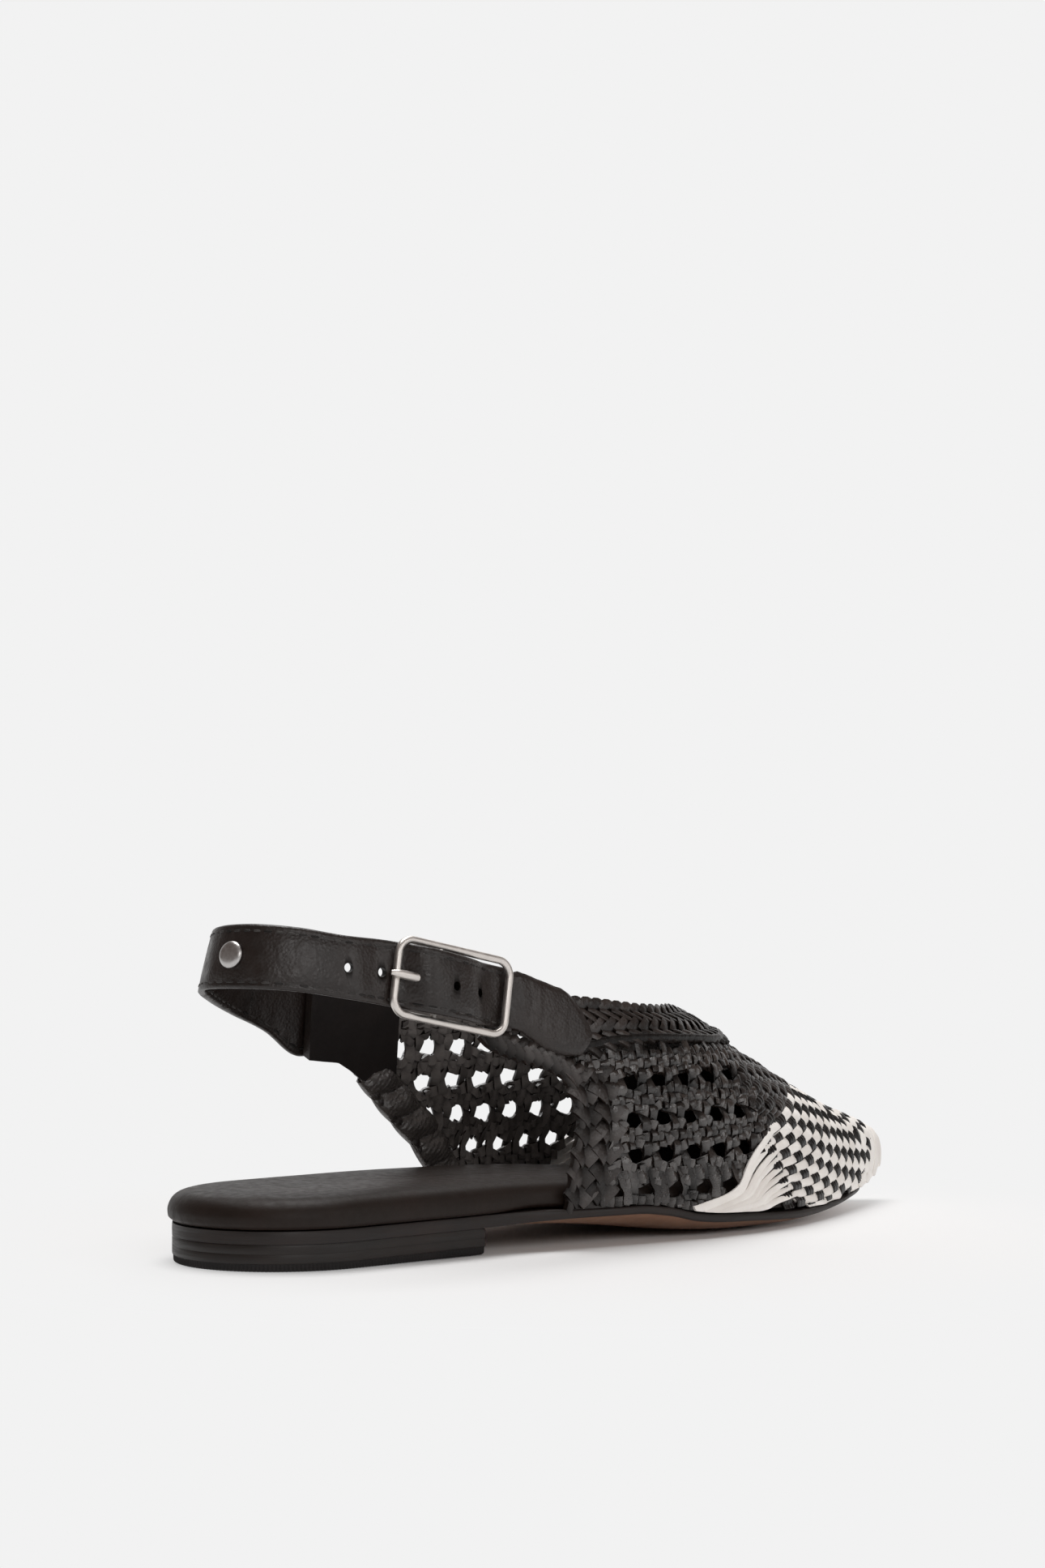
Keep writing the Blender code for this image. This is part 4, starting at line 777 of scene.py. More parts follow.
def open_weave(strips, side, top_line, rear_room, pitch, room, bow):
    """Weaves one side: room is from a gap's middle to the nearest level strip, bow how far that bends away."""
    chart = on_side(side)
    rows = OPEN_ROWS[side]
    base, lowest = rows[0][1], len(rows) - 1
    centres = [first - pitch * round((first - base) / pitch) for z, first in rows]
    column = smooth([z for z, first in rows][::-1], centres[::-1])
    groups = [[(rows[0][0] + room + 2.2 * k, 0, float(k == 0)) for k in (2, 1, 0)]]
    for r in range(lowest):
        high, low = rows[r][0] - room, rows[r + 1][0] + room
        groups.append([(high, r, -1.0), ((high + low) / 2, r, 0.0), (low, r + 1, 1.0)])
    bottom = np.arange(rows[-1][0] - room, 9.5, -2.3)
    groups.append([(z, lowest, -float(k == 0)) for k, z in enumerate(bottom)] + [(None, lowest, 0.0)])
    levels = [level for group in groups for level in group]
    cell = pitch / 4

    def open_front(z):
        if side > 0:
            return OPEN_FRONT(z)
        return np.minimum(OPEN_FRONT(z), np.interp(z - 6.3, FAN_EDGE[-1][:, 1], FAN_EDGE[-1][:, 0]) - 0.5)

    def covered(y, z):
        """Keeps strips out of the throat: they end under the collar band."""
        x = skin(y, turn_at_height(y, z, side))[..., 0] - LAST["ridge_x"](THROAT_FRONT)
        ahead = np.maximum(y - THROAT_FRONT + THROAT_ROUND, 0)
        return np.hypot(x / (THROAT_HALF + 4), ahead / (THROAT_ROUND + 4)) > 1

    def shown(y, z, rear_slack, front_slack):
        """Where an upright strip shows: off the rear edge, behind the vamp, above the sole."""
        rear = np.maximum(REAR_EDGE[side](z) + rear_room - rear_slack, 106.0 if side > 0 else 0.0)
        return (y > rear) & (y < open_front(z) + front_slack) & (z > feather(y) + 0.1) & covered(y, z)

    def wave(y, n):
        return 0.62 * np.cos(np.pi * ((y - centres[levels[n][1]]) / cell - 0.5 + n))

    def level_height(n, y):
        z, r, away = levels[n]
        if z is None:
            return feather(y) + 1.3
        bent = bow * away * np.cos(2 * np.pi * (y - centres[r]) / pitch) * (1 + 0.3 * np.sin(0.23 * y + 1.7 * n))
        return np.maximum(z + bent, feather(y) + 1.0)

    def upright(z, shift, m, wide):
        """Lays one upright strip that goes over and under the level strips."""
        y = column(z) + shift
        knots = sorted((float(level_height(n, float(np.median(y)))), n) for n in range(len(levels)))
        knots = [kn for a, kn in enumerate(knots) if a == 0 or kn[0] > knots[a - 1][0] + 0.3]
        ride = smooth([a for a, n in knots], [-float(wave(float(np.interp(a, z, y)), n)) for a, n in knots])
        sway = CHANCE.normal(0, 0.25) * np.sin(np.linspace(0, 2 * np.pi, len(z)) + m)
        lay(strips, chart, np.stack([y + sway, np.maximum(z, feather(y) + 0.1)], -1),
            wide * (1 + CHANCE.normal(0, 0.05)), ride(z), 0.75, 0.16, tilt=CHANCE.normal(0, 0.25))

    count = 0
    for group in groups:
        first, count = count, count + len(group)
        for n in range(first, count):
            at = SOLE_LEVEL if levels[n][0] is None else levels[n][0]
            rear = max(float(REAR_EDGE[side](at)) + rear_room, 108.0 if side > 0 else 0.0)
            y = np.arange(rear, float(open_front(at)) + 3, 0.6)
            y = y[slice(*runs(covered(y, level_height(n, y)))[0])]
            if len(y) < 8:
                continue
            drift = CHANCE.normal(0, 0.1, len(y)).cumsum() * 0.2
            wide = 1.25 * (1 + 0.12 * np.sin(y * 0.9 + n * 2.1))
            lay(strips, chart, np.stack([y, level_height(n, y) + drift - drift.mean()], -1), wide, wave(y, n),
                0.75, 0.16, tilt=CHANCE.normal(0, 0.2))
            if n > first:
                low, high = level_height(n, y), level_height(n - 1, y)
                lay(strips, chart, np.stack([y, (low + high) / 2], -1)[::2],
                    np.maximum(high - low, 0.8)[::2] / 2, -0.2, 0.3, 0.0)
        for m in range(-30, 48):
            shift = (m + 0.5) * cell
            if m % 4 in (1, 2):
                continue
            y = float(column(levels[first][0])) + shift
            low, high = float(level_height(count - 1, y)), float(level_height(first, y))
            z = np.arange(low - 1.2, high + 1.2, 0.6)
            z = z[shown(column(z) + shift, z, 0, 1)]
            if len(z) > 5:
                upright(z, shift, m, 1.28)
    for m in range(-30, 48):
        if m % 4 not in (1, 2):
            continue
        shift = (m + 0.5) * cell
        z = np.arange(float(feather(base + shift)) + 0.2, float(top_line(base + shift)) + 2.5, 0.6)
        keep = shown(column(z) + shift, z, 2, 1.5)
        for a, b in runs(keep):
            if b - a > 7:
                corner = np.max([np.exp(-(np.abs(z[a:b] - row[0]) - 2.4) ** 2) for row in rows], axis=0)
                upright(z[a:b], shift, m, 1.32 + 0.28 * corner)


COLLAR_LINE = smooth([40, 62, 100, 118, 140, 158, 165], [76.5, 74.6, 70.3, 68.2, 65.1, 63.0, 62.1])
BAND_LOW = {
    1: smooth([40, 105, 114, 130, 153, 175, 191], [51, 52.4, 55.2, 55.8, 54.8, 52.2, 49]),
    -1: smooth([40, 80, 125, 150, 175, 191], [57.6, 57.8, 57.4, 55.6, 52.2, 49]),
}
THROAT_FRONT, THROAT_ROUND, THROAT_HALF, BAND_WIDE = 172.0, 17.0, 17.0, 12.0
sides = Strips()
open_weave(sides, 1, BAND_LOW[1], 11.0, 10.5, 2.75, 0.85)
open_weave(sides, -1, BAND_LOW[-1], 8.0, 11.3, 2.9, 1.0)
sides.piece("open_side_weave", [BLACK_STRIP, BLACK_FLESH], "upper", "upper")

# %% [markdown]
# ## Rear plaits
# The rear edge of the outer wing is a flat four-strand plait. Seen flat it is a herringbone: short slanted stitches
# of leather in columns, each tucked under its neighbour. So each is a short strip, tilted to overlap the next.

# %% Outer rear plait
rear = Strips()
PLAIT_COLUMNS, PLAIT_STEP = 4, 5.6
chart = on_side(1)
z = np.linspace(9.6, 47.0, 40)
for inset, wide in ((3.6, 3.4), (10.4, 3.6)):
    lay(rear, chart, np.stack([REAR_EDGE[1](z) + inset, z], -1), wide, -0.4, 0.9, 0.1)
for c in range(PLAIT_COLUMNS):
    slope = 1 if c % 2 else -1
    for k in range(-1, 9):
        centre_z = 9.0 + k * PLAIT_STEP + 0.4 * (c // 2)
        t = np.linspace(-1, 1, 9)
        z = centre_z + slope * 2.2 * t
        y = REAR_EDGE[1](np.clip(z, 5, 46.5)) + 1.7 + c * 3.45 + 2.2 * t
        keep = (z > feather(y) + 0.3) & (z < 51.0)
        if keep.sum() < 5:
            continue
        ends = np.interp(t, [-1, -0.5, 0.6, 1], [0.05, 0.45, 0.4, 0.0])
        lay(rear, chart, np.stack([y, z], -1)[keep], 2.3, (ends + CHANCE.normal(0, 0.08))[keep], 0.8, 0.2,
            tilt=-0.6 + CHANCE.normal(0, 0.06))
z = np.linspace(9.4, 47.5, 60)
beat = np.sin(z * 1.12)
lay(rear, chart, np.stack([REAR_EDGE[1](z) + 0.7 + 0.15 * beat, z], -1), 1.15, 0.35 + 0.1 * beat, 1.6, 0.4,
    across=7, belly=0.4)
tail = smooth([76.8, 79, 83, 89, 96, 102, 107], [61.5, 59.4, 57.4, 55.4, 53.4, 50.8, 47.4])
y = np.linspace(76.8, 107, 44)
lay(rear, chart, np.stack([y, tail(y)], -1), 2.8, 0.0, 1.3, 0.3, across=9, belly=0.2)
for centre in np.arange(78.0, 106.5, 3.0):
    for way in (-1, 1):
        t = np.linspace(-1, 1, 9)
        y = centre + 0.75 * (way + 1) + 1.9 * t
        spot = np.stack([y, tail(y) + way * (1.2 + 1.5 * t)], -1)
        lay(rear, chart, spot, 1.35, 0.55 + 0.35 * (1 - t ** 2), 0.8, 0.35, tilt=-0.4 * way)
rear.piece("outer_rear_plait", [PLAIT_STRIP, BLACK_FLESH], "rear_plait_outer", "rear_plait_outer")

# %% [markdown]
# The inner wing ends in a soft rolled edge: leather turned over a cord and caught down every few millimetres, so it
# puffs between the stitches and wrinkles. It shows from inside, so both faces are round.

# %% Inner rolled edge
roll = Strips()
z = np.linspace(11.5, 47.0, 130)
y = REAR_EDGE[-1](z)
length = walked(np.stack([y, z], -1))
q = np.linspace(-1, 1, 21)
puff = np.abs(np.sin(np.pi * length[:, None] / 10.0 + 0.5 + 0.45 * q + 0.2 * np.sin(4 * q)))
middle, half = (y + 6.3)[:, None], 5.6 + 0.5 * puff
yy, zz = middle + half * q * 0.82, z[:, None] + half * q * 0.57
dome = np.maximum(1 - q ** 2, 0) ** 0.55
far = length[:, None]
wrinkle = 0.3 * np.sin(far * 1.9 + 4 * q + 2 * np.sin(far * 0.7)) * (1 - puff) + 0.1 * np.sin(far * 4.4 - 7 * q)
turn = turn_at_height(yy, np.maximum(zz, feather(yy) + 0.2), -1)
roll.add(skin(yy, turn, 0.2 + (0.5 + 0.3 * puff) * dome),
         skin(yy, turn, -1.0 - (0.6 + 1.7 * puff) * dome - wrinkle * dome), tone=0.8)
bead = np.abs(np.sin(np.pi * length / 3.0)) ** 0.7
lay(roll, on_side(-1), np.stack([y + 0.9, z], -1), 0.9 + 0.35 * bead, 0.2 + 0.3 * bead, 1.7 + 0.6 * bead[:, None],
    0.5, across=7, belly=0.5)
# The inner face of the roll and the back of its bead take the lightened skin: painted light in the shade inside.
roll.piece("inner_rolled_edge", [PLAIT_STRIP, ROLL_SKIN_PAINTED_LIGHTER], "rear_plait_inner", "rear_plait_inner")

# %% [markdown]
# Where the strap is sewn on, a smooth patch of lining covers the seam from inside. It ends in a straight edge in
# front and tucks under the rolled edge below.

# %% Lining patch of the inner wing
patch = Strips()
y = np.linspace(60.5, 92.5, 40)
low = np.interp(y, [60.5, 71, 76, 79, 84, 92.5], [51.6, 50.4, 47.6, 45.4, 43.5, 41.5])
share = np.linspace(0, 1, 26)
yy = np.broadcast_to(y[:, None], (40, 26))
high = np.minimum(72.5, COLLAR_LINE(y) - 2.2)
zz = low[:, None] + (high - low)[:, None] * share
ripple = 0.1 * np.sin(zz * 0.33 + yy * 0.2) + 0.03 * np.sin(yy * 0.9 - zz * 0.2)
turn = turn_at_height(yy, zz, -1)
patch.add(skin(yy, turn, np.interp(yy, [66.5, 69.5], [0.5, -0.5])), skin(yy, turn, -2.3 + ripple), 1, 0, tone=0.5)
patch.piece("inner_lining_patch", [LINING, PLAIT_STRIP], "upper", "upper")

# %% [markdown]
# ## Collar band
# A wider plait runs round the throat and stands over the weave. Its place is described along the throat: from the tab
# on the outer side, round the front and back to the strap on the inner side. Across, it goes from the collar edge to
# the band's lower edge.

# %% Collar band chart
def plan_edge(wider, turns):
    """Points of a curve round the throat's front, given in plan, as places on the last."""
    middle, ridge = THROAT_FRONT - THROAT_ROUND, float(LAST["ridge_x"](THROAT_FRONT))
    found = []
    for turn in turns:
        y = middle + (THROAT_ROUND + wider) * math.sin(turn)
        x = ridge + (THROAT_HALF + wider) * math.cos(turn)
        found.append((y, float(np.interp(-x, -skin(y, TURNS)[:, 0], TURNS))))
    return found


def band_edges():
    upper, lower = [], []
    for side, start, end, count in ((1, 105.0, None, 40), (-1, None, 68.0, 70)):
        top_y = np.linspace(start or 157.0, end or 157.0, count)
        low_y = np.linspace(start or 174.0, end or 174.0, count)
        edge = COLLAR_LINE(top_y) - 0.9 * np.clip((152 - top_y) / 20, 0, 1)
        straight = ([(y, float(turn_at_height(y, z, side))) for y, z in zip(top_y, edge)],
                    [(y, float(turn_at_height(y, BAND_LOW[side](y), side))) for y in low_y])
        if side > 0:
            upper += straight[0][:-1]
            lower += straight[1][:-1]
            upper += plan_edge(0.0, np.radians(np.linspace(8, 172, 40)))
            lower += plan_edge(BAND_WIDE, np.radians(np.linspace(38, 142, 40)))
        else:
            upper += straight[0][1:]
            lower += straight[1][1:]
    return np.array(upper), np.array(lower)


def rounded(edge):
    """Evens out the corners of an edge."""
    for _ in range(14):
        edge[1:-1] = (edge[:-2] + 2 * edge[1:-1] + edge[2:]) / 4
    return edge


BAND_TOP, BAND_BASE = (rounded(edge) for edge in band_edges())
middle_line = (BAND_TOP + BAND_BASE) / 2
points = skin(middle_line[:, 0], middle_line[:, 1])
BAND_ALONG = walked(points)
wide = np.linalg.norm(skin(*BAND_TOP.T) - skin(*BAND_BASE.T), axis=1)
BAND_SPAN = smooth(BAND_ALONG, wide)


def on_band(t, v):
    """Place on the band: t along it, v across it from the collar edge, both in millimetres."""
    share = v / BAND_SPAN(t)
    parts = []
    for k in (0, 1):
        upper = np.interp(t, BAND_ALONG, BAND_TOP[:, k])
        lower = np.interp(t, BAND_ALONG, BAND_BASE[:, k])
        parts.append(upper + (lower - upper) * share)
    return parts[0], parts[1]


print("collar band:", round(BAND_ALONG[-1], 1), "mm long,", wide.min().round(1), "to", wide.max().round(1), "wide")

# %% [markdown]
# The band itself is a flat backing, then rows of slanted stitches like the rear plait, then a rolled rim along its
# lower edge and small loops along the collar, which make the scalloped outline against the light.

# %% Collar band
band = Strips()
t = np.linspace(0, BAND_ALONG[-1], 150)
half = BAND_SPAN(t) / 2
FRONT_AT = BAND_ALONG[58]


def swell(t):
    """How far the band stands up round the front of the throat."""
    return 1.8 * np.exp(-((t - FRONT_AT) / 27.0) ** 2)


lay(band, on_band, np.stack([t, half + 0.6], -1), half - 0.8, 0.2 + swell(t), 1.1, 0.1, across=9)
BAND_ROWS = 4

for row in range(BAND_ROWS):
    slope = 1 if row % 2 else -1
    for centre in np.arange(3.0, BAND_ALONG[-1] - 2.0, 4.6):
        pitch = float(BAND_SPAN(centre)) / BAND_ROWS
        u = np.linspace(-1, 1, 9)
        v = np.maximum((row + 0.5) * pitch + u * pitch * 0.62, 1.8)
        tt = centre + slope * u * 3.5 + 2.3 * (row // 2)
        keep = (tt > 0.3) & (tt < BAND_ALONG[-1] - 0.3)
        if keep.sum() < 6:
            continue
        ends = np.interp(u, [-1, -0.5, 0.5, 1], [0.7, 1.15, 1.1, 0.65]) + CHANCE.normal(0, 0.06) + float(swell(centre))
        tilt = 0.5 * float(np.clip((FRONT_AT - centre) / 14, -1, 1))
        lay(band, on_band, np.stack([tt, v], -1)[keep], 1.5, ends[keep], 0.9, 0.42, tilt=tilt)
rim_v = BAND_SPAN(t) - 0.7
bead = 0.12 * np.sin(2 * np.pi * t / 2.4)
lay(band, on_band, np.stack([t, rim_v], -1), 1.1 + 0.5 * bead, 1.35 + bead + swell(t), 1.6, 0.55, across=7)
for centre in np.arange(2.0, BAND_ALONG[-1] - 2.0, 2.3):
    tt = centre + np.linspace(-1.6, 1.6, 7)
    loop = 1 - np.linspace(-1, 1, 7) ** 2
    lay(band, on_band, np.stack([tt, 2.5 - 0.3 * loop], -1), 1.2, 0.4 + 0.25 * loop + float(swell(centre)), 1.8, 0.4,
        across=7, belly=0.3)
band.piece("collar_plait", [PLAIT_STRIP, BLACK_FLESH], "collar_band", "collar_band")

# %% [markdown]
# ## Strap
# The sling strap is two thin calf skins glued and sewn back to back. A table of its path gives place, lower and upper
# edge and lean. On the outer side it passes through the buckle, so it dips under the frame and rides over the bar.

# %% Strap path
STRAP_ROWS = np.array([
    (-32, 67, 52, 71.8, 1.2), (-31.7, 60, 51.6, 73.4, 1.3), (-30.4, 49, 58.6, 77.2, 1.5),
    (-27.2, 36, 63.9, 81.4, 1.7), (-20.8, 24.4, 68, 85.2, 1.9), (-12, 14.2, 71.5, 88.4, 2.0),
    (0, 8.8, 73.4, 90.2, 2.1), (11.8, 11.6, 73.8, 90.8, 2.0), (20.4, 20.2, 73, 89.9, 1.7),
    (25.8, 31, 71, 87.8, 1.4), (29.2, 45, 68.4, 85, 1.0), (30.8, 63, 64.7, 81.2, 0.9),
    (31.2, 76, 61.9, 78.4, 0.9), (31.3, 80.4, 61, 77.5, 0.9), (31.3, 85.0, 60.1, 76.6, 0.9),
])
full = (STRAP_ROWS[:, 0] > 0) & (STRAP_ROWS[:, 1] > 44)
STRAP_ROWS[full, 3] += 1.1
threaded = smooth([33.5, 42.4, 46.9, 53.6, 59, 69, 78.4, 85], [0, -2.45, -2.45, 4.0, 4.2, 2, -2.45, -2.45])
ways = np.linspace(28, 90, 125)
padded = np.pad(threaded(ways), 5, mode="edge")
THREADED = smooth(ways, np.convolve(padded, np.ones(11) / 11, "valid"))
STRAP_THICK = 2.0
steps = np.hypot(*np.diff(STRAP_ROWS[:, :2], axis=0).T)
STRAP_KNOTS = np.concatenate([[0], np.cumsum(steps)]) / steps.sum()
STRAP_SLOPES = np.gradient(STRAP_ROWS, STRAP_KNOTS, axis=0)


def strap_row(share):
    """The strap's five columns at shares of its length."""
    share = np.clip(np.asarray(share, float), 0, 1)
    k = np.clip(np.searchsorted(STRAP_KNOTS, share, side="right") - 1, 0, len(STRAP_KNOTS) - 2)
    step = (STRAP_KNOTS[k + 1] - STRAP_KNOTS[k])[..., None]
    s = (share - STRAP_KNOTS[k])[..., None] / step
    start = STRAP_ROWS[k] * (1 + 2 * s) * (1 - s) ** 2 + STRAP_ROWS[k + 1] * s * s * (3 - 2 * s)
    return start + step * s * (1 - s) * (STRAP_SLOPES[k] * (1 - s) - STRAP_SLOPES[k + 1] * s)


def strap_frame(share):
    """Middle, outward direction, half height and lean of the strap."""
    share = np.asarray(share, float)
    row = strap_row(share)
    ahead = strap_row(np.minimum(share + 1e-3, 1))[..., :2] - strap_row(np.maximum(share - 1e-3, 0))[..., :2]
    ahead = unit(ahead)
    out = np.stack([ahead[..., 1], -ahead[..., 0], 0 * ahead[..., 0]], -1)
    middle = np.stack([row[..., 0], row[..., 1], (row[..., 2] + row[..., 3]) / 2], -1)
    return middle, out, (row[..., 3] - row[..., 2]) / 2, row[..., 4]


def strap_point(share, up, offset):
    """Point on the strap: up is -1 at the lower edge and 1 at the upper edge."""
    middle, out, half, lean = strap_frame(share)
    return middle + out * (offset - up * lean)[..., None] + np.stack([0 * half, 0 * half, up * half], -1)


def strap_share(y):
    shares = np.linspace(0.6, 1, 4000)
    return float(np.interp(y, strap_row(shares)[:, 1], shares))


STRAP_LONG = steps.sum()
RIVET_PLACE = 0.492 * (STRAP_LONG - steps[-1]) / STRAP_LONG
print("strap:", round(STRAP_LONG, 1), "mm in plan")

# %% [markdown]
# Its section has rounded edges and a shallow channel along each edge where the stitches sink in. It is lofted along
# the path and the adjusting holes are punched right through, so that the background shows in them.

# %% Loft helper


def outward(piece):
    """Turns all faces of a closed piece outward."""
    bm = bmesh.new()
    bm.from_mesh(piece.data)
    bmesh.ops.recalc_face_normals(bm, faces=bm.faces)
    bm.to_mesh(piece.data)
    bm.free()
    return piece


def ring_faces(rows, count, closed=False):
    """Faces between rings of points, with a cap on each end unless the last ring meets the first."""
    here = np.arange(rows * count).reshape(rows, count)
    ahead = np.roll(here, -1, axis=0)
    caps = [] if closed else [here[0, ::-1].tolist(), here[-1].tolist()]
    if not closed:
        here, ahead = here[:-1], ahead[:-1]
    quads = np.stack([here, np.roll(here, -1, axis=1), np.roll(ahead, -1, axis=1), ahead], -1)
    return quads.reshape(-1, 4).tolist() + caps


def loft(name, rings, finishes, kinds=None, sharp=55):
    """A closed piece over rings of points, from the first to the last."""
    rings = np.asarray(rings)
    faces = ring_faces(*rings.shape[:2])
    return outward(whole_mesh(name, rings.reshape(-1, 3), faces, finishes, kinds, sharp=sharp))


print("faces of a tube of 3 rings of 8:", len(ring_faces(3, 8)))

# %% Strap body
SECTION = [
    (-1.0, -0.2), (-0.985, 0.62), (-0.95, 0.93), (-0.84, 1.0), (-0.79, 0.86), (-0.74, 1.0), (-0.4, 1.08), (0, 1.1),
    (0.4, 1.08), (0.74, 1.0), (0.79, 0.86), (0.84, 1.0), (0.95, 0.93), (0.985, 0.62),
]
SECTION = SECTION + [(-u, -o) for u, o in SECTION]
shares = np.linspace(0, 1, 240)
ride = np.where(shares > 0.6, THREADED(strap_row(shares)[:, 1]), 0.0)
ring = np.array(SECTION)
creep = 0.05 * np.sin(shares * 170)[:, None] * np.sin(ring[:, 0] * 3.0)
creep = creep + CHANCE.normal(0, 0.015, (len(shares), len(ring)))
grid = strap_point(shares[:, None] + 0 * ring[:, 0], 0 * shares[:, None] + ring[:, 0],
                   ride[:, None] + ring[:, 1] * STRAP_THICK / 2 + creep)
strap = loft("sling_strap_calf", grid, [STRAP_CALF], sharp=60)


def punch(name, spots, radius, deep):
    """Round pegs to punch holes with: spots are (point, direction)."""
    bm = bmesh.new()
    for point, way in spots:
        peg = bmesh.ops.create_cone(bm, cap_ends=True, segments=20, radius1=radius * MM, radius2=radius * MM,
                                    depth=deep * MM)
        turn = Vector(way).to_track_quat("Z", "Y").to_matrix().to_4x4()
        bmesh.ops.transform(bm, matrix=turn, verts=peg["verts"])
        bmesh.ops.translate(bm, vec=in_frame(point), verts=peg["verts"])
    mesh = bpy.data.meshes.new(name)
    bm.to_mesh(mesh)
    bm.free()
    made = bpy.data.objects.new(name, mesh)
    bpy.context.scene.collection.objects.link(made)
    return made


def cut_away(piece, cutter):
    """Cuts the cutter out of the piece and throws the cutter away."""
    change = piece.modifiers.new("cut", "BOOLEAN")
    change.operation, change.solver, change.object = "DIFFERENCE", "EXACT", cutter
    bpy.context.view_layer.update()
    fresh = bpy.data.meshes.new_from_object(piece.evaluated_get(bpy.context.evaluated_depsgraph_get()))
    piece.modifiers.clear()
    piece.data = fresh
    bpy.data.objects.remove(cutter)


spots = []
for y in (31.8, 42.2, 61.8, 72.4):
    middle, out, half, lean = strap_frame(strap_share(y))
    spots.append((middle + out * float(THREADED(y)), out))
cut_away(strap, punch("hole_punch", spots, 1.25, 6.0))
dressed(strap, "sling_strap", "sling_strap")

# %% [markdown]
# Stitches are short waxed threads that sink into the channels. Each is a small capsule, three to the centimetre on
# both faces, made by one helper from a start and an end.

# %% Stitches


def capsule(strips, start, end, out, radius):
    """A thread from start to end, bulging away from the leather along out."""
    start, end, out = (np.asarray(v, float) for v in (start, end, out))
    aside = np.cross(unit(end - start), out)
    t = np.linspace(0, 1, 7)
    a = np.linspace(-1, 1, 5) * np.pi / 2
    thin = np.sqrt(np.maximum(1 - (2 * t - 1) ** 4, 0.05))
    rows, under = [], []
    for share, slim in zip(t, thin):
        centre = start + (end - start) * share
        rows.append([centre + aside * radius * slim * math.sin(v) + out * (radius * slim * math.cos(v) * 0.9)
                     for v in a])
        under.append([centre + aside * radius * slim * math.sin(v) * 0.9 - out * radius * 0.5 for v in a])
    strips.add(np.array(rows), np.array(under), 0, 0)


threads = Strips()
STITCH = 3.1
count = int(STRAP_LONG / STITCH)
for k in range(1, count):
    a, b = (k - 0.36) / count, (k + 0.36) / count
    for up in (-0.79, 0.79):
        for facing in (1, -1):
            ends = []
            for share in (a, b):
                ridden = float(THREADED(strap_row(share)[1])) if share > 0.6 else 0.0
                depth = ridden + facing * (STRAP_THICK / 2 * 0.86 + 0.02)
                ends.append(strap_point(np.array(share), np.array(up), np.array(depth)))
            capsule(threads, ends[0], ends[1], strap_frame((a + b) / 2)[1] * facing, 0.38)
for up in np.arange(-0.7, 0.75, 0.17):
    share = 0.165
    for facing in (1, -1):
        depth = np.array(facing * STRAP_THICK / 2 * 1.03)
        ends = [strap_point(np.array(share), np.array(u), depth) for u in (up, up + 0.12)]
        capsule(threads, ends[0], ends[1], strap_frame(share)[1] * facing, 0.3)
threads.piece("strap_stitches", [THREAD], "sling_strap")

# %% [markdown]
# ## Buckle, prong and rivet
# The frame is bent nickel-plated wire with rounded corners and a middle bar. The prong is a softer wire, hooked round
# the bar, that rests on the rear of the frame. The rivet is a turned dome with a fine rim.

# %% Buckle axes and wire helper
WIRE, BUCKLE_TALL, BUCKLE_BACK, BUCKLE_BAR, BUCKLE_FRONT, CORNER = 2.1, 22.4, 45.8, 59.0, 82.6, 4.2
BAR_RADIUS, PLAY, RIVET_RADIUS = (WIRE - 0.6) / 2, 0.3, 3.7
back = strap_frame(strap_share(BUCKLE_BACK))
front = strap_frame(strap_share(76.0))
ALONG = unit(front[0] - back[0])
OUT = back[1] + front[1]
OUT = unit(OUT - ALONG * OUT.dot(ALONG))
ACROSS = np.cross(OUT, ALONG)
ACROSS = ACROSS * np.sign(ACROSS[2])
lean = float(back[3] / back[2])
ACROSS = unit(ACROSS - OUT * lean)
OUT = unit(OUT + ACROSS * lean)
BUCKLE_LONG = (BUCKLE_FRONT - BUCKLE_BACK) / ALONG[1]
BAR = (BUCKLE_BAR - BUCKLE_BACK) / (BUCKLE_FRONT - BUCKLE_BACK) * BUCKLE_LONG


def on_buckle(a, w, n):
    """Point of the buckle: along, across and out, in millimetres."""
    a, w, n = (np.asarray(v, float)[..., None] for v in (a, w, n))
    return back[0] + ALONG * a + ACROSS * w + OUT * n


def wire(path, radius, sides=14, closed=False):
    """Points and faces of a wire swept along a path of (along, across, out) places."""
    path = np.asarray(path, float)
    ahead = np.roll(path, -1, 0) - np.roll(path, 1, 0) if closed else np.gradient(path, axis=0)
    plane = np.array([0, 0, 1.0]) if np.ptp(path[:, 2]) < 1e-6 else np.array([0, 1.0, 0])
    first = unit(np.cross(unit(ahead), plane))
    radius = np.broadcast_to(radius, len(path))[:, None, None]
    a = np.linspace(0, 2 * np.pi, sides, endpoint=False)
    c = np.sign(np.cos(a)) * np.abs(np.cos(a)) ** 0.85
    s = np.sign(np.sin(a)) * np.abs(np.sin(a)) ** 0.85
    ring = path[:, None, :] + radius * (first[:, None, :] * c[None, :, None] + plane * s[None, :, None])
    return on_buckle(*ring.reshape(-1, 3).T), ring_faces(len(path), sides, closed)


print("buckle:", round(float(BUCKLE_LONG) + WIRE, 1), "by", BUCKLE_TALL, "mm")

# %% Buckle frame, prong and rivet
half = (BUCKLE_TALL - WIRE) / 2
path = []
far, near, high = BUCKLE_LONG - CORNER, CORNER, half - CORNER
for quarter, (a, w) in enumerate([(far, high), (near, high), (near, -high), (far, -high)]):
    for angle in np.linspace(quarter, quarter + 1, 11) * np.pi / 2:
        path.append((a + CORNER * math.cos(angle), w + CORNER * math.sin(angle), 0))
loop_points, loop_faces = wire(path, WIRE / 2, 16, closed=True)
bar_points, bar_faces = wire([(BAR, w, 0) for w in np.linspace(-half, half, 12)], BAR_RADIUS)
faces = loop_faces + [[k + len(loop_points) for k in f] for f in bar_faces]
frame_piece = outward(whole_mesh("buckle_wire_frame", np.concatenate([loop_points, bar_points]), faces, [NICKEL]))
dressed(frame_piece, "buckle_frame", "buckle_frame")

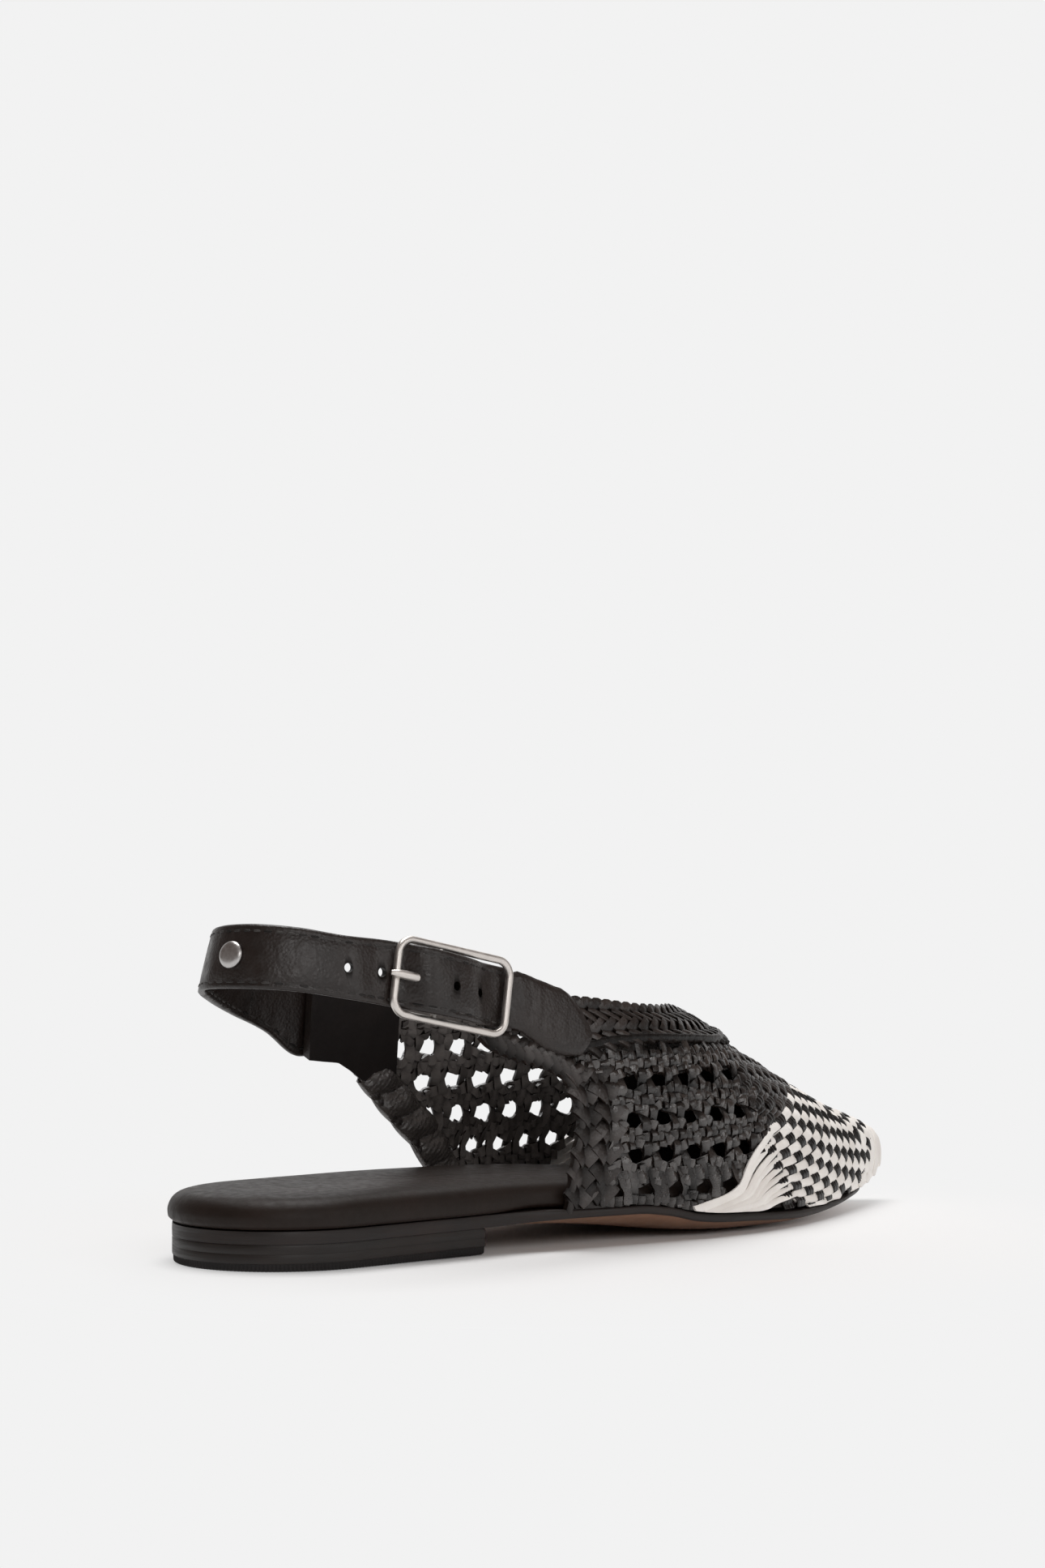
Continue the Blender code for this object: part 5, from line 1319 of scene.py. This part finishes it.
PRONG = 1.9
eye, rest = BAR_RADIUS + PLAY + PRONG / 2, WIRE / 2 + 0.1 + PRONG / 2
hook = [(BAR + eye * math.cos(a), 0.0, eye * math.sin(a)) for a in np.radians(np.linspace(-130, 90, 18))]
arm = [(BAR * s, 0.0, eye + (rest - eye) * o) for s, o in ((0.7, 0.15), (0.5, 0.6), (0.3, 0.95), (0.0, 1.0))]
tip_wire = [(-0.9, 0.0, rest), (-1.6, 0.0, rest - 0.2), (-2.6, 0.0, rest - 0.8)]
path = np.array(hook + arm + tip_wire)
thick = np.full(len(path), PRONG / 2)
thick[-7:] = (1.3, 1.3, 1.25, 1.15, 1.1, 0.95, 0.7)
prong = outward(whole_mesh("buckle_prong_wire", *wire(path, thick), [NICKEL]))
dressed(prong, "buckle_prong", "buckle_prong")

middle, out, half_tall, lean_here = strap_frame(RIVET_PLACE)
base = strap_point(np.array(RIVET_PLACE), np.array(0.05), np.array(STRAP_THICK / 2 + 0.3))
up = unit(out + np.array([0, 0, float(lean_here / half_tall)]))
first = unit(np.cross(up, [0, 0, 1.0]))
second = np.cross(up, first)
PROFILE = [(0.2, 1.49), (0.45, 1.42), (0.62, 1.32), (0.75, 1.2), (0.86, 1.0), (0.94, 0.78), (0.985, 0.55),
           (1.0, 0.36), (0.99, 0.1), (0.96, -0.05)]
a = np.linspace(0, 2 * np.pi, 48, endpoint=False)
rows = [[base + (first * math.cos(v) + second * math.sin(v)) * r * RIVET_RADIUS + up * h for v in a]
        for r, h in PROFILE]
rivet = loft("strap_rivet_dome", rows, [RIVET_STEEL])
dressed(rivet, "strap_rivet", "strap_rivet")

# %% [markdown]
# ## Tab
# The tab is one piece of calf: sewn on the outer wing, narrowed, and folded round the middle bar of the buckle. It
# is lofted from the fold's side view and then along the skin of the last, with fine upright wrinkles where it bends.

# %% Tab
TAB_LOW = smooth([86, 91, 97, 103, 112], [61.2, 57.8, 54.2, 52.6, 52])
TAB_HIGH = smooth([86, 91, 97, 103, 112], [75.8, 74.2, 72, 70, 68.4])
TAB_NOSE = smooth([0, 0.3, 0.65, 1], [107.6, 111.4, 109.4, 104.6])
turn = BAR_RADIUS + PLAY + 0.6
fold = [(BAR + 8.5, -2.9), (BAR + 6, -2.7), (BAR + 4, -2.5)]
fold += [(BAR + turn * math.cos(v), turn * math.sin(v)) for v in np.radians(np.linspace(-90, -270, 13))]
fold += [(BAR + a, n) for a, n in ((4.5, 0.94), (8, 0.2), (12, -2.6), (17, -4.5), (24, -4.4))]
fold = np.array(fold)
travel = walked(fold)
fine = np.linspace(0, travel[-1], 46)
fold = np.stack([smooth(travel, fold[:, 0])(fine), smooth(travel, fold[:, 1])(fine)], -1)
ahead = unit(np.gradient(fold, axis=0))
normal = np.stack([-ahead[:, 1], ahead[:, 0]], -1)
ups = np.linspace(-1, 1, 15)
thin = 0.6 * np.sqrt(np.maximum(1 - np.abs(ups) ** 10, 0.12))
outer_rows, inner_rows = [], []
for (a, n), (na, nn) in zip(fold, normal):
    for rows, way in ((outer_rows, 1), (inner_rows, -1)):
        rows.append(on_buckle(a + way * thin * na, ups * 7.0, n + way * thin * nn))
for t in np.linspace(0, 1, 34):
    share = (ups + 1) / 2
    y = 88.5 + (TAB_NOSE(share) - 88.5) * t
    z = TAB_LOW(y) + (TAB_HIGH(y) - TAB_LOW(y)) * share
    wrinkle = 0.04 * np.sin(y * 1.3 + 2.2 * np.sin(z * 0.35)) + 0.03 * np.sin(y * 2.7 - z * 0.6 + np.sin(y * 0.7))
    worn = np.interp(1 - share, [0, 0.9, 1], [0, 0, 0.4]) - 0.9 * np.interp(t, [0.9, 1], [0, 1])
    rim = 1.0 * np.sqrt(np.maximum(1 - np.abs(ups) ** 12, 0.1))
    lift = 2.0 + rim + wrinkle * np.interp(t, [0, 0.15, 1], [0, 1, 0.6]) + worn * 0.6
    outer_rows.append(skin(y, turn_at_height(y, z, 1), lift))
    inner_rows.append(skin(y, turn_at_height(y, z, 1), 1.0 + 0 * rim))
tab = Strips()
tab.add(np.array(outer_rows), np.array(inner_rows), tone=0.6)
tab.piece("buckle_tab_calf", [STRAP_CALF, BLACK_FLESH], "buckle_tab", "buckle_tab")

# %% [markdown]
# ## Insole, sole and heel
# The insole is a padded board covered with glove leather: high and crowned at the heel, with rounded shoulders. It
# is a glued pad rather than a loose cushion, so its swell is modelled directly instead of simulated.

# %% Insole
INSOLE_TOP = smooth([-1, 70, 100, 125, 145, 160, 190, 220, 247], [19.4, 19.4, 19.0, 18.0, 16.6, 15.2, 12.6, 11.6, 11.4])
INSOLE_BACK, INSOLE_TIP, INSOLE_HALF, INSOLE_MID, HEEL_ROUND = -1.0, 247.0, 30.8, 123.0, 31.6


def heel_round(y, start, length):
    """Share of the full width along a rounded end."""
    t = np.clip((y - start) / length, 0, 1)
    return np.sqrt(np.maximum(1 - (1 - t) ** 2, 0))


def insole_side(y, side):
    """The insole's edge: a round heel that turns into the width of the last."""
    inside = np.abs(LAST["lat" if side > 0 else "med"](y)) - 2.4
    t = np.clip((y - 60) / 50, 0, 1)
    blend = t * t * (3 - 2 * t)
    half = INSOLE_HALF * heel_round(y, INSOLE_BACK, HEEL_ROUND) * (1 - blend) + inside * blend
    tip = heel_round(INSOLE_TIP - y, 0.0, 12.0)
    centre = LAST["ridge_x"](y)
    return centre + (side * half - centre) * tip


def sole_top(y):
    """Height of the sole's upper face."""
    return SOLE["low"](y) + SOLE["edge"](y)


def drawn_in(y, middle, share):
    """Places along the foot, brought closer to a middle."""
    return middle + (y - middle) * share


def both_sides(outer, inner, places):
    """One outline from its outer and its inner side."""
    return np.concatenate([np.stack([outer, places], -1), np.stack([inner, places], -1)[-2:0:-1]])


bend = (1 - np.cos(np.linspace(0, np.pi, 120))) / 2
places = INSOLE_BACK + (INSOLE_TIP - INSOLE_BACK) * bend
outline = both_sides(insole_side(places, 1), insole_side(places, -1), places)
ROUND = smooth([0, 0.16, 0.34, 0.52, 0.72, 0.87, 1.0], [1.3, 0.15, 0.0, 0.5, 2.0, 4.6, 10.0])
SHARE = smooth([0, 0.16, 0.34, 0.52, 0.72, 0.87, 1.0], [0.0, 0.14, 0.34, 0.58, 0.82, 0.95, 1.0])
rings = []
for s in np.linspace(0, 1, 22):
    inset, share = float(ROUND(s)), float(SHARE(s))
    x = outline[:, 0] * (1 - inset / INSOLE_HALF)
    y = drawn_in(outline[:, 1], INSOLE_MID, 1 - inset / 124.0)
    low = sole_top(y) + 0.48
    rings.append(np.stack([x, y, low + (INSOLE_TOP(y) - low) * share], -1))
shoulder = rings[-1]
for s in (0.82, 0.62, 0.42, 0.22, 0.06):
    y = drawn_in(shoulder[:, 1], INSOLE_MID, 0.5 + 0.5 * s)
    rings.append(np.stack([shoulder[:, 0] * s, y, INSOLE_TOP(y) - 0.5 * (1 - s) ** 2 + 0.05 * np.sin(y * 0.31)], -1))
insole = loft("padded_insole", rings, [INSOLE_GLOVE], sharp=70)
dressed(insole, "insole", "insole")

# %% [markdown]
# The outsole is one sheet of sole leather: black ink on its edge, bare tan below. It is lofted from the same outline
# and sections as its solid, only finer.

# %% Outsole
SOLE_MID, TAN_RINGS = 129.0, 5
places = SOLE_TIP * (1 - np.cos(np.linspace(0, np.pi, 150))) / 2
heel_end = heel_round(places, 0.0, HEEL_ROUND)
outline = both_sides(SOLE["lat"](places) * heel_end, SOLE["med"](places) * heel_end, places)
outline[:, 1] -= 5.5 * np.clip((outline[:, 1] - 225) / 33, 0, 1) ** 2
rings = []
for across, along, share in ((0.12, 0.5, -0.02), (0.55, 0.90, 0.0), (0.72, 0.94, 0.16), (0.86, 0.97, 0.35),
                             (0.95, 0.99, 0.72), (0.985, 0.997, 0.9), (1.0, 1.0, 1.0)):
    x, y = outline[:, 0] * across, drawn_in(outline[:, 1], SOLE_MID, along)
    rings.append(np.stack([x, y, SOLE["mid"](y) + share * (SOLE["low"](y) - SOLE["mid"](y))], -1))
for up, inset in ((0.12, 0.0), (0.5, -0.12), (0.88, 0.0), (1.0, 0.25)):
    y = outline[:, 1]
    rings.append(np.stack([outline[:, 0] * (1 - inset / 30), y, SOLE["low"](y) + SOLE["edge"](y) * up], -1))
y = drawn_in(outline[:, 1], SOLE_MID, 0.8)
rings.append(np.stack([outline[:, 0] * 0.5, y, sole_top(y)], -1))
points = np.array(rings)
points[..., 2] = np.maximum(points[..., 2], 0.0)
thin = 1.1 * np.clip((points[..., 1] - 195) / 35, 0, 1)
points[..., 2] += thin * np.clip((sole_top(points[..., 1]) - points[..., 2]) / 2, 0, 1)
n, m = points.shape[:2]
kinds = np.repeat([int(k < TAN_RINGS) for k in range(n - 1)], m).tolist() + [1, 0]
outsole = loft("leather_outsole", points, [SOLE_EDGE, SOLE_TAN], kinds, sharp=50)
dressed(outsole, "outsole", "outsole")

# %% [markdown]
# The heel is a low stack with straight sides and a square breast, and its rubber top piece has a knurled edge with
# about one tooth a millimetre.

# %% Heel and top piece
HEEL_HALF, HEEL_BREAST, HEEL_CENTRE, TOOTH = 29.4, 78, np.array([0, 38.0]), 1.1


def heel_outline(inset, count):
    """Points of the heel's outline, evenly spaced: round back, straight sides, square breast."""
    scale = 1 - inset / HEEL_HALF
    ring = [(HEEL_HALF * scale * math.cos(v), HEEL_ROUND - (HEEL_ROUND - inset) * math.sin(v))
            for v in np.linspace(np.pi, 0, 60)]
    rows = np.linspace(HEEL_ROUND, HEEL_BREAST - inset, 30)[1:]
    right = [(float(SOLE["lat"](y)) * scale, y) for y in rows]
    ring = ring + right + [(-x, y) for x, y in reversed(right)] + [ring[0]]
    ring = np.array(ring)
    walk = walked(ring)
    even = np.linspace(0, walk[-1], count, endpoint=False)
    return np.stack([np.interp(even, walk, ring[:, 0]), np.interp(even, walk, ring[:, 1])], -1), walk[-1]


def heel_piece(name, levels, finish, slot, tooth=0.0):
    """One layer of the heel over levels of (inset, height), with teeth of this depth round its edge."""
    count = 4 * int(heel_outline(0, 4)[1] / TOOTH) if tooth else 320
    rings = []
    for inset, z in levels:
        ring, _ = heel_outline(inset, count)
        if tooth:
            deep = tooth * np.tile([0.0, -0.5, -1.0, -0.5], count // 4) * np.interp(z, [0, 0.3, 1.6, 2], [1, 1, 1, 0.2])
            ring = ring + unit(ring - HEEL_CENTRE) * deep[:, None]
        rings.append(np.column_stack([ring, np.full(count, z)]))
    return dressed(loft(name, rings, [finish], sharp=45), slot, slot)


heel_piece("stacked_heel", [(0.3, 2.05), (0.08, 2.2), (0.0, 2.5), (0.0, 4.5), (0.06, 4.62), (0.0, 4.75), (0.0, 6.6),
                            (0.2, 7.1)], HEEL_STACK, "heel")
heel_piece("rubber_top_piece", [(0.9, 0.0), (0.5, 0.25), (0.35, 0.5), (0.3, 1.6), (0.3, 2.1)], HEEL_RUBBER,
           "top_piece", 0.3)

# %% Sizes and finish
seen_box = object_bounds()
for title, box in (("CAD box", CAD_BOX), ("dressed box", seen_box)):
    print(title, [[round(c / MM, 1) for c in v] for v in box])
